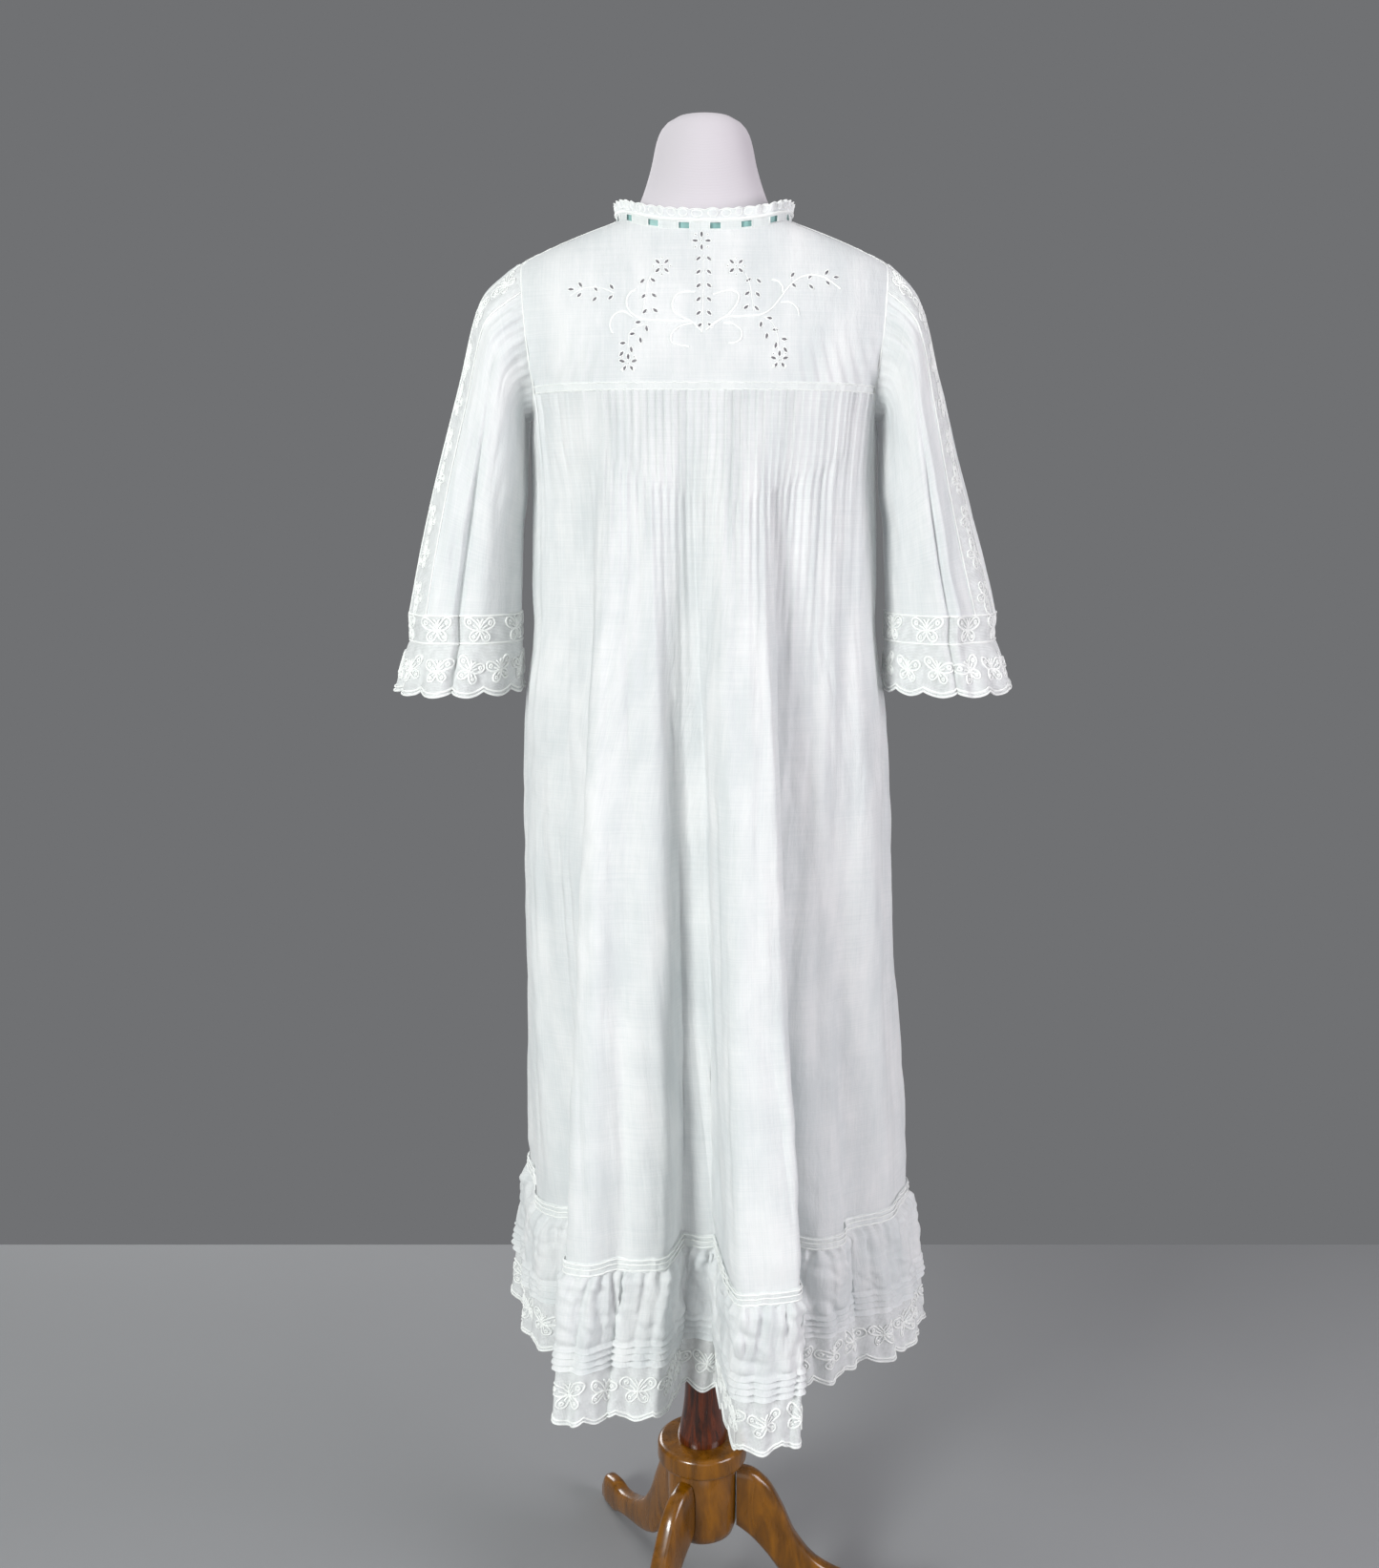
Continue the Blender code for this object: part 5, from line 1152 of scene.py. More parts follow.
def cut_sheet(name, outline, holes, step, seat, height, material):
    """A sheet with holes: its flat pattern is triangulated, then bent to shape."""
    loops = [np.array(outline)] + [np.array(hole) for hole in holes]
    low, high = np.vstack(loops).min(axis=0), np.vstack(loops).max(axis=0)
    grid = np.stack(np.meshgrid(np.arange(low[0], high[0], step),
                                np.arange(low[1], high[1], step)), -1).reshape(-1, 2)
    keep = inside(loops[0], grid[:, 0], grid[:, 1])
    for loop in loops:
        middle, reach = loop.mean(axis=0), np.ptp(loop, axis=0).max()
        near = np.abs(grid - middle).max(axis=1) < reach + 2 * step
        if loop is not loops[0]:
            spots = np.flatnonzero(near & keep)
            keep[spots] &= ~inside(loop, grid[spots, 0], grid[spots, 1])
        spots = np.flatnonzero(near & keep)
        gaps = np.linalg.norm(grid[spots, None] - loop[None], axis=-1).min(axis=1)
        keep[spots] &= gaps > 0.45 * step
    places, faces = triangles(loops, grid[keep], 1e-7)
    middles = places[faces].mean(axis=1)
    keep = inside(loops[0], middles[:, 0], middles[:, 1])
    for loop in loops[1:]:
        middle, reach = loop.mean(axis=0), np.ptp(loop, axis=0).max()
        spots = np.flatnonzero((np.abs(middles - middle).max(axis=1) < reach) & keep)
        keep[spots] &= ~inside(loop, middles[spots, 0], middles[spots, 1])
    used, faces = np.unique(faces[keep], return_inverse=True)
    faces = faces.reshape(-1, 3)
    places = places[used]
    points = raised(seat, places[:, 0], places[:, 1], height(places[:, 0], places[:, 1]))
    if looks_inwards(*points[faces].transpose(1, 0, 2), seat.core):
        faces = faces[:, ::-1]
    mesh = bpy.data.meshes.new(name)
    mesh.from_pydata(points, [], faces.tolist())
    flat = places[faces.reshape(-1)].reshape(-1)
    mesh.uv_layers.new(name="cut").data.foreach_set("uv", flat)
    return mesh_object(name, mesh, material)


def make_back_yoke():
    seat = Seat(back_yoke_place, (4e-4, 4e-4))
    seam_angle = SHOULDER_BACK - SEAM_TURN
    tip = float(armhole_height(seam_angle))
    heights = np.linspace(YOKE_BOTTOM, tip, 40)
    side = np.stack([along(ARMHOLE, "reach", heights), heights], -1)
    heights = np.linspace(tip, float(neck_height(seam_angle)) - SEAM, 26)[1:]
    side = np.vstack([side, np.stack([wall(BODY, seam_angle, heights)[:, 0], heights], -1)])
    turns = np.linspace(seam_angle, -seam_angle, 90)[1:-1]
    neck = neck_place(turns, -SEAM, 0.0)[:, [0, 2]]
    bottom = np.linspace(-side[0, 0], side[0, 0], 150)[1:-1]
    bottom = np.stack([bottom, np.full(len(bottom), YOKE_BOTTOM)], -1)
    outline = np.vstack([bottom, side, neck, side[::-1] * np.array([-1.0, 1.0])])
    found = eyelets()
    holes = [eyelet_outline(eyelet) for eyelet in found]
    holes += [ring(x, z, DOT_RADIUS) for x, z in dots()]
    made = cut_sheet("back_yoke_cloth", outline, holes, YOKE_MESH, seat, yoke_height, lawn)
    rims = [eyelet_outline(eyelet, RIM_SWELL) for eyelet in found]
    rims += [ring(x, z, DOT_RADIUS + 0.0003) for x, z in dots()]
    for name, lines, closes, lift, sizes in (
        ("eyelet_rims", rims, True, 0.0002, (0.00055, 0.0007, 0.25)),
        ("stem_stitch", map(smooth_line, STEMS), False, 0.0001, (0.00055, 0.0008, 0.3)),
        ("satin_stitch", map(smooth_line, SATIN_LINES), False, 0.0001, (0.00105, 0.0007, 0.2, 6)),
    ):
        laid = [(raised(seat, *line.T, yoke_height(*line.T) + lift), closes) for line in lines]
        thickness, *sizes = sizes
        cords(f"yoke_{name}", laid, thickness, "cotton_lawn", *sizes)
    dress(made, "back_yoke")


# Front yokes, shoulder lace and tapes


def front_yoke_place(side):
    """A four-sided patch from the shoulder and neckline down to the front tape."""
    seam_angle = SHOULDER_FRONT + SEAM_TURN
    tip_z = float(armhole_height(seam_angle))
    tip_phi = math.degrees(math.acos((tip_z - ARMHOLE_MIDDLE) / ARMHOLE_HALF))
    end_phi = -math.degrees(math.acos((YOKE_BOTTOM - ARMHOLE_MIDDLE) / ARMHOLE_HALF))
    neck_z = float(neck_height(seam_angle))

    def edge(q):
        phi = mix(tip_phi, end_phi, q)
        z = ARMHOLE_MIDDLE + ARMHOLE_HALF * np.cos(np.radians(phi))
        angle = armhole_angle(z)
        return np.stack([np.where(phi > 0, angle, 180.0 - angle), z])

    def top(p):
        shoulder = mix(tip_z, neck_z - SEAM, p / NECK_CORNER)
        round_neck = mix(seam_angle, 180.0, (p - NECK_CORNER) / (1 - NECK_CORNER))
        angle = np.where(p < NECK_CORNER, seam_angle, round_neck)
        return np.stack([angle, np.where(p < NECK_CORNER, shoulder, neck_height(angle) - SEAM)])

    def bottom(p):
        return np.stack([mix(180.0 - armhole_angle(YOKE_BOTTOM), 180.0, p), 0 * p + YOKE_BOTTOM])

    def middle(q):
        return np.stack([0 * q + 180.0, mix(NECK_FRONT - SEAM, YOKE_BOTTOM, q)])

    def place(p, q):
        p, q = np.clip(p, 0, 1), np.clip(q, 0, 1)
        zero, one = np.zeros_like(p), np.ones_like(p)
        ruled = mix(top(p), bottom(p), q) + mix(edge(q), middle(q), p)
        corners = mix(mix(top(zero), top(one), p), mix(bottom(zero), bottom(one), p), q)
        points = wall(BODY, *(ruled - corners))
        points[..., 0] = side * np.maximum(points[..., 0], SEAM / 2)
        return points

    return place


def make_front_yokes():
    p, q = np.meshgrid(np.linspace(0, 1, 90), np.linspace(0, 1, 70))
    for name, side in SIDES:
        seat = Seat(front_yoke_place(side), (0.002, 0.002))
        wander = 2 * soft_noise(p, q, 0.2, 0.5, 11)
        creases = 0.0009 * ease(q * 2 - 0.9) * np.sin(2 * np.pi * p * 9 + wander)
        soft = 0.0004 * soft_noise(p, q, 0.15, 0.15, 12 + side)
        points = raised(seat, p, q, SHEET + creases * ease((1 - p) * 6) + soft)
        made = grid_mesh(f"front_yoke_{name}_cloth", points, lawn)
        dress(made, f"front_yoke_{name}")


def make_shoulder_lace():
    motifs = [[(ring(0, 0, 0.0030, 10), True), (ring(0, 0, 0.0013), True)]] * 7
    for name, side in SIDES:

        def place(p, q):
            angle = mix(SHOULDER_BACK + SEAM_TURN, SHOULDER_FRONT - SEAM_TURN, p)
            z = mix(armhole_height(angle), neck_height(angle) - SEAM, q)
            return wall(BODY, angle, z) * np.array([side, 1.0, 1.0])

        node = f"shoulder_lace_{name}"
        made, trim, wide, long = lace_strip(
            node, Seat(place, (0.01, 0.01)), np.linspace(0, 1, 16), np.linspace(0, 1, 50), 1,
            motifs, 0.0003, (0.03, 0.97), 40, (0.0005, 0.0006, 0.12))
        dress(made, node)


def make_tapes():
    reach = float(armhole_angle(YOKE_LINE)) - TAPE_SHORT
    low, high = YOKE_LINE - TAPE_HEIGHT / 2, YOKE_LINE + TAPE_HEIGHT / 2
    turned_in, stitched_in, stitch_height = 0.0012, 0.0024, 0.0019
    for name, middle in (("back", 0.0), ("front", 180.0)):
        seat = Seat(lambda p, z: wall(BODY, middle + mix(-reach, reach, p), z), (0.002, 0.001))
        p, v = np.meshgrid(np.linspace(0, 1, 260), np.linspace(0, 1, 12))
        crown = 0.0012 + 0.0004 * np.abs(np.sin(np.pi * v)) ** 0.5
        crown = crown + 0.0006 * soft_noise(p * 0.36, v, 0.006, 1.0, 21)
        points = raised(seat, p, mix(high - turned_in, low + turned_in, v), crown)
        made = grid_mesh(f"yoke_tape_{name}_cloth", points, tape_cloth)
        run = np.linspace(0.0, 1.0, 200)
        lines = [(raised(seat, run, z + 0.0007 * np.sin(430 * run), stitch_height), False)
                 for z in (low + stitched_in, high - stitched_in)]
        trim = cords(f"yoke_tape_{name}_stitches", lines, 0.00045, "cotton_lawn", 0.0016, 0.3)
        dress(made, f"yoke_tape_{name}")


# Skirt

PANEL_EDGE = PANEL_WIDTH / 2 - SEAM / 4
TUCK_SAMPLES = 7
TUCK_RIDGE = 0.0019
TUCK_LEAN = 0.85
GATHER_PITCH = 0.0085
GATHER_FADING = 0.13
FRONT_GATHER_PITCH = 0.0090
FRONT_GATHER_FADING = 0.16
CREASES_FROM = 1.36
SLACK_RISE = 0.0048
SLACK_SPREAD = 0.055
SLACK_TOP = 1.405
SLACK_LOW = 1.15


def panel_top(share, first):
    tape = YOKE_LINE - TAPE_HEIGHT / 2 - SEAM
    angle = np.abs(turned(first + 180.0 * share - (first + 90.0)))
    start = armhole_angle(tape) - PANEL_TOP_TURN
    side = mix(tape, ARMHOLE[0].height, ease((angle - start) / (90.0 - start)) ** 0.6) - SEAM
    return np.where(angle <= start, tape + 0.003, side)


def panel_grid(first, top, rows):
    """Places over a skirt panel: spread as given at the top, and closer at bends by the hem."""
    low = bend_shares(FLOUNCE_TOP, first, len(top))
    v = np.linspace(0, 1, rows) ** 1.15
    share = mix(top[None], low[None], ease((v - 0.13) / 0.45)[:, None])
    z = mix(panel_top(top, first)[None], FLOUNCE_TOP - UNDER_FLOUNCE, v[:, None])
    return share, (share - 0.5) * 2 * PANEL_EDGE, z


def below_tape(z, fading):
    """How much of the tape's gathers is left at a height."""
    return np.exp(-np.clip(YOKE_LINE - TAPE_HEIGHT / 2 - z, 0, 1) / fading)


def hanging_creases(s, z, seed):
    """Long soft creases down the cloth, and short ones that lean across them."""
    hang = ease((CREASES_FROM - z) / 0.25) * ease((z - FLOUNCE_TOP) / 0.03)
    return hang * (0.0022 * soft_noise(s, z, 0.014, 0.34, seed)
                   + 0.0030 * np.abs(soft_noise(s, z, 0.011, 0.20, seed + 2))
                   + 0.0016 * np.abs(soft_noise(s + 0.3 * z, z, 0.018, 0.05, seed + 1)))


def make_panel(name, first, s, z, height):
    def place(s, z):
        return skirt(angle_along(z, s / PANEL_WIDTH + 0.5, first), z)

    made = grid_mesh(f"{name}_cloth", raised(Seat(place, (0.0008, 0.002)), s, z, height), lawn)
    dress(made, name)


def tuck_shares():
    """Shares across the back panel of the half-tucks: even ones are ridges, odd ones valleys."""
    x = mix(TUCK_FROM_X, TUCK_TO_X, np.arange(2 * TUCKS + 1) / (2 * TUCKS))
    angles = np.linspace(-90.0, 90.0, ROW_SAMPLES)
    lengths = row_lengths(wall(BODY, angles, YOKE_LINE))
    return np.interp(angle_at(x, YOKE_LINE), angles, lengths / lengths[-1])


def underarm_slack(from_seam, z):
    """The slack that the side seams have below the armholes, where the sleeves hang on them."""
    level = ease((z - SLACK_LOW) / 0.10) * ease((SLACK_TOP - z) / 0.03)
    return SLACK_RISE * np.exp(-((from_seam / SLACK_SPREAD) ** 2)) * level


def make_back_skirt():
    """The back panel: pressed tucks in the middle of its top, gathers beside them."""
    stations = tuck_shares()
    order = np.arange(2 * TUCKS + 1)
    columns = 340
    inner = np.interp(np.arange(TUCKS * TUCK_SAMPLES + 1) / TUCK_SAMPLES * 2, order, stations)
    left = (columns - len(inner)) // 2
    right = columns - len(inner) - left
    top = np.concatenate([np.linspace(0, inner[0], left + 1)[:-1], inner,
                          np.linspace(inner[-1], 1, right + 1)[1:]])
    share, s, z = panel_grid(-90.0, top, 190)
    tuck = np.interp(share, stations, order, left=-1.0, right=-1.0)
    within = (share >= stations[0]) & (share <= stations[-1])
    from_middle = np.clip(np.abs(tuck / TUCKS - 1), 0, 1)
    end = mix(TUCK_END_MIDDLE, TUCK_END_SIDE, from_middle**1.6)
    phase = (tuck / 2) % 1.0
    saw = np.where(phase < TUCK_LEAN, (1 - phase / TUCK_LEAN) ** 1.1,
                   (phase - TUCK_LEAN) / (1 - TUCK_LEAN))
    held = ease((z - end + 0.010) / 0.012)
    ridge = TUCK_RIDGE * saw * held * within
    freed = (1 - held) * within * np.exp(-np.clip(end - z, 0, 1) / 0.11)
    lag = 0.5 * soft_noise(s, z, 0.05, 0.20, 31)
    release = freed * (0.0014 * np.cos(2 * np.pi * phase + lag)
                       + 0.0012 * np.cos(np.pi * tuck / 3.1 + 2 * lag))
    wander = 2.0 * soft_noise(s, z, 0.02, 0.3, 32)
    gather = (1 - within) * (0.0016 * np.sin(2 * np.pi * s / GATHER_PITCH + wander)
                             + 0.0014 * np.sin(2 * np.pi * s / 0.0190 + 1.0))
    gather *= below_tape(z, GATHER_FADING)
    slack = underarm_slack(PANEL_EDGE - np.abs(s), z)
    height = SHEET + ridge + release + gather + hanging_creases(s, z, 33) + slack
    make_panel("back_skirt", -90.0, s, z, height)


def make_front_skirt():
    """The front panel: gathers at its top, but none under the closing strip."""
    _, s, z = panel_grid(90.0, np.linspace(0, 1, 236), 150)
    clear = ease((np.abs(s) - 0.016) / 0.015)
    clear = np.maximum(clear, ease((PLACKET_BASE - 0.02 - z) / 0.05))
    fine = 2.5 * soft_noise(s, z, 0.02, 0.3, 42)
    wide = 2 * soft_noise(s, z, 0.05, 0.3, 43)
    gather = (0.0013 * np.sin(2 * np.pi * s / FRONT_GATHER_PITCH + fine)
              + 0.0012 * np.sin(2 * np.pi * s / 0.0210 + wide))
    gather *= below_tape(z, FRONT_GATHER_FADING) * clear
    make_panel("front_skirt", 90.0, s, z, SHEET + gather + hanging_creases(s, z, 44))


# Hem

HEM_STEPS = (0.0006, 0.001)
HEM_LENGTH = 1.9
HEM_TUCKS = 4
HEM_TUCK_PITCH = 0.0070
TUCK_SECTION = (0.97, 0.62, 0.5, 0.3, 0.12, 0.0)
FLOUNCE_GATHERS = 160
FLOUNCE_SMALL_WAVES = 96
HEM_PER_WAVE = 9
HEM_TURN = 0.0002
HEM_TUCK_RISE = 0.0046
HEM_CORDS = (FLOUNCE_TOP - 0.0020, FLOUNCE_TOP - 0.0068, BAND_LOW + 0.0012)

hem_half = [bend_shares(HEM_MIDDLE, first, FLOUNCE_WAVES + 1)[:-1] / 2 for first in (-90.0, 90.0)]
# Places round the hem at which the ruffle's crests and valleys lie in turn
stations_round = np.concatenate([hem_half[0], 0.5 + hem_half[1]])


def hem_noise(share, z, wide, high, seed, lean=0.0):
    return soft_noise(share * HEM_LENGTH + lean * z, z, wide, high, seed)


def hem_wave(share):
    """The ruffle's swing at shares round the hem: crests and valleys in turn, smoothly joined."""
    count = len(stations_round)
    rooms = (np.roll(stations_round, -1) - np.roll(stations_round, 1)) % 1.0
    i = np.arange(count)
    size = np.minimum(1.0, rooms * count / 2) ** 1.6 * (0.75 + 0.25 * np.sin(2.3 * i))
    crests = np.where(i % 2 == 1, size, -size)
    at = np.interp(share % 1.0, np.append(stations_round, 1.0), np.arange(count + 1))
    i = np.floor(at).astype(int) % count
    return mix(crests[i], crests[(i + 1) % count], ease(at - np.floor(at)))


def flounce_place(share, z):
    """The flounce stands out from the skirt in small waves that grow towards its edge."""
    down = np.clip((BAND_LOW - z) / (BAND_LOW - HEM), 0.0, 1.0)
    point = hem_place(share, z)
    out = mix(0.0025, 0.0085, down**0.7) + mix(0.0016, 0.0055, down) * hem_wave(share)
    lag = 2.5 * hem_noise(share, z, 0.06, 0.08, 56)
    small = mix(0.0010, 0.0022, down) * np.sin(2 * np.pi * FLOUNCE_SMALL_WAVES * share + lag)
    out = 0.0010 + (out + small) * ease((BAND_LOW + 0.002 - z) / 0.012)
    return point + away_from_pole(point) * out[..., None]


def band_place(share, z):
    point = hem_place(share, z)
    return point + away_from_pole(point) * 0.0006


def make_hem_band(round_places):
    """The corded band over the flounce's seam."""
    seat = Seat(band_place, HEM_STEPS)

    def wander(share, v):
        return 0.0008 * hem_noise(share, v, 0.008, 5.0, 52)

    share, v = np.meshgrid(round_places, np.linspace(0, 1, 11))
    swell = 0.0016 + 0.0006 * np.abs(np.sin(2 * np.pi * v)) ** 0.8
    swell += 0.0010 * hem_noise(share, v, 0.0040, 0.6, 51)
    z = mix(FLOUNCE_TOP + 0.0005, BAND_LOW - 0.0015, v) + wander(share, v)
    band = grid_mesh("hem_band_cloth", raised(seat, share, z, swell), tape_cloth, closed=True)
    run = np.linspace(0, 1, 900)[:-1]
    lift = 0.0026 + 0.0008 * hem_noise(run, run, 0.0045, 5.0, 58)
    lines = [(raised(seat, run, z + wander(run, run), lift), True) for z in HEM_CORDS]
    trim = cords("hem_band_cords", lines, 0.0009, "cotton_lawn", 0.0026, 0.25)
    dress(band, "hem_band")


def make_flounce(round_places):
    """The flounce: gathered into the band, crumpled, with pressed tucks above its lace."""
    top_rows = np.linspace(BAND_LOW + 0.002, LACE_TOP + HEM_TUCKS * HEM_TUCK_PITCH, 30)
    tuck_rows = [k + part for k in range(HEM_TUCKS - 1, -1, -1) for part in TUCK_SECTION]
    rows = np.concatenate([top_rows, LACE_TOP + HEM_TUCK_PITCH * np.array(tuck_rows)])
    share, z = np.meshgrid(round_places, rows)
    above = (z + 1e-7 - LACE_TOP) / HEM_TUCK_PITCH
    slope = np.clip(1 - (above % 1.0) / 0.62, 0, 1) ** 0.7
    tucks = np.where(above < HEM_TUCKS, HEM_TUCK_RISE * slope, 0.0)
    wander = 0.0012 * hem_noise(share, z, 0.024, 1.0, 57)
    z = z + wander * ease(above) * ease((BAND_LOW - z) / 0.02)
    lag = 4 * hem_noise(share, z, 0.03, 0.06, 53)
    gather = 0.0030 * np.sin(2 * np.pi * share * FLOUNCE_GATHERS + lag)
    gather *= np.exp(-(BAND_LOW - z) / 0.030) * ease((BAND_LOW - z) / 0.002 + 0.3)
    crease = (0.0062 * np.abs(hem_noise(share, z, 0.013, 0.045, 54, 0.2))
              + 0.0032 * np.abs(hem_noise(share, z, 0.010, 0.014, 55, 0.8)))
    pressed = np.maximum(0.35 * ease(above), ease(above - HEM_TUCKS + 0.8))
    height = SHEET + tucks + gather + crease * ease((BAND_LOW - z) / 0.01) * pressed
    points = raised(Seat(flounce_place, HEM_STEPS), share, z, height)
    flounce = grid_mesh("hem_flounce_cloth", points, lawn, closed=True)
    dress(flounce, "hem_flounce")


def make_hem():
    waves = len(stations_round)
    round_places = np.interp(np.arange(waves * HEM_PER_WAVE) / HEM_PER_WAVE,
                             np.arange(waves + 1), np.append(stations_round, 1.0))
    make_hem_band(round_places)
    make_flounce(round_places)
    count = HEM_SCALLOPS // 2
    motifs = [butterfly(0.045 if i % 2 else 0.039, 0.25 * math.sin(2.1 * i)) for i in range(count)]
    edging = Edging(LACE_TOP + 0.0006, HEM, 24, SCALLOP_DEPTH, mix(LACE_TOP, HEM, 0.45), 0.0004,
                    (0.0008, 0.0045), (0.00110, 0.0020, 0.15, 4))
    for name, first in (("back", 0.0), ("front", 0.5)):
        start, end = first + HEM_TURN, first + 0.5 - HEM_TURN
        part = round_places[(round_places > start) & (round_places < end)]
        node = f"hem_lace_{name}"
        lace, trim, _ = lace_edging(node, Seat(flounce_place, HEM_STEPS), [start, *part, end],
                                    edging, motifs, count * 14 + 1)
        dress(lace, node)


# Sleeves

INSERTION_GAP = 0.35
INSERTION_REPEATS = 9
VALLEY_DEEP = 0.0065
VALLEY_EDGE = 0.0042
HEAD_GATHERS = 44


def sleeve_crease(phi, share):
    """The long pressed fold down a sleeve's back: a narrow valley under a raised edge."""
    away = turned(phi - SLEEVE_CREASE)
    deep = ease((share - 0.14) / 0.60)
    valley = -VALLEY_DEEP * np.exp(-(((away - 2.0) / 3.2) ** 2))
    edge = VALLEY_EDGE * np.exp(-(((away + 5.0) / 5.5) ** 2))
    return deep * (valley + edge)


def sleeve_relief(phi, q, first, last, side):
    """Gathers at the sleeve head, soft folds below, and slack under the arm."""
    turn = np.radians(phi)
    outer = 0.5 + 0.5 * np.cos(turn)
    caps = np.exp(-q / 0.12) * ease(q / 0.012) * (0.25 + 0.75 * outer)
    lag = 1.5 * soft_noise(phi, q, 9.0, 0.3, 61 + side)
    gather = 0.0020 * caps * np.sin(HEAD_GATHERS * turn + lag)
    drape = ease(q * 4) * (0.0026 * soft_noise(phi - 30 * q, q, 10.0, 0.24, 63 + side)
                           + 0.0014 * soft_noise(phi + 40 * q, q, 7.0, 0.20, 65 + side))
    slack = 0.0036 * (1 - outer) ** 2 * ease((q - 0.03) / 0.10) * ease((0.62 - q) / 0.20)
    seams = ease(np.minimum(phi - first, last - phi) / 7.0)
    folds = seams * (gather + slack + drape * (0.25 + 0.75 * outer))
    return SHEET + folds + sleeve_crease(phi % 360.0, q)


def make_sleeves():
    rows = np.linspace(0, 1, 130) ** 0.9
    lace_from, lace_to = 360.0 - INSERTION_TO, 360.0 - INSERTION_FROM
    across = np.linspace(lace_from + INSERTION_GAP, lace_to - INSERTION_GAP, 24)
    motifs = [butterfly(0.037, 1.57 + 0.5 * (-1) ** i) for i in range(INSERTION_REPEATS)]
    for name, side in SIDES:

        def place(phi, q):
            return sleeve_place(phi, np.clip(q, 0, 1), side)

        seat = Seat(place, (0.3, 0.002), sleeve_core(side))
        first, last = lace_to + INSERTION_GAP, lace_from + 360.0 - INSERTION_GAP
        phi, q = np.meshgrid(np.linspace(first, last, 200), rows)
        points = raised(seat, phi, q, sleeve_relief(phi, q, first, last, side))
        made = grid_mesh(f"sleeve_{name}_cloth", points, lawn, core=seat.core)
        run = np.linspace(0, 360, 160)[:-1]
        seam = (sleeve_place(run, np.zeros(len(run)), side) + armhole_point(run, side)) / 2
        trim = cords(f"armhole_piping_{name}", [(seam, True)], 0.0010, "cotton_lawn", 0.002, 0.10,
                     8)
        dress(made, f"sleeve_{name}")
        node = f"sleeve_lace_{name}"
        lace, trim, _, _ = lace_strip(node, seat, across, rows, -1, motifs, 0.0004,
                                      (across[0], across[-1]), 120, (0.00090, 0.0015, 0.15, 4))
        dress(lace, node)


CUFF_THREADS = (0.00120, 0.0017, 0.15, 5)
CUFF_LIFT = 0.0005


def make_cuffs():
    """At each sleeve's end a band of lace, and a scalloped ruffle below it."""
    low = CUFF_TOP - CUFF_BAND
    band = Edging(CUFF_TOP, low, 18, 0.0, (low + CUFF_TOP) / 2, CUFF_LIFT, (0.0, CUFF_BAND),
                  CUFF_THREADS)
    ruffle = Edging(low, CUFF_HEM, 24, 0.0060, mix(low, CUFF_HEM, 0.50), CUFF_LIFT,
                    (0.0008, 0.0048), CUFF_THREADS)
    band_motifs = [butterfly(0.041, 0.12 * math.sin(3 * i)) for i in range(CUFF_REPEATS)]
    for name, side in SIDES:

        def place(phi, z):
            points = cuff_place(phi, z, side)
            outwards = points - points_of(side * 0.252, -0.010, points[..., 2])
            outwards /= np.linalg.norm(outwards, axis=-1, keepdims=True)
            return points + outwards * sleeve_crease(phi, np.ones(phi.shape))[..., None]

        seat = Seat(place, (0.5, 0.001), sleeve_core(side))
        ruffle_motifs = [butterfly(0.038, 0.35 * math.sin(2 * i + side))
                         for i in range(RUFFLE_SCALLOPS)]
        for half, first in (("back", 0.0), ("front", 180.0)):
            start, end = first + 0.1, first + 179.9
            node = f"cuff_lace_{name}_{half}"
            made, trim, wide = lace_edging(node, seat, np.linspace(start, end, 120), band,
                                           band_motifs, 120)
            dress(made, node)
            node = f"cuff_ruffle_{name}_{half}"
            made, trim, wide = lace_edging(node, seat, np.linspace(start, end, 150), ruffle,
                                           ruffle_motifs, 200)
            dress(made, node)


# Neck

NECK_STEPS = (0.0006, 0.0005)
BAND_HIGH = NECKBAND_BASE + NECKBAND_HEIGHT
BAND_FOOT = NECKBAND_BASE - 0.001
SLOT_LOW = NECKBAND_BASE + 0.0024
SLOT_HIGH = BAND_HIGH - 0.0020


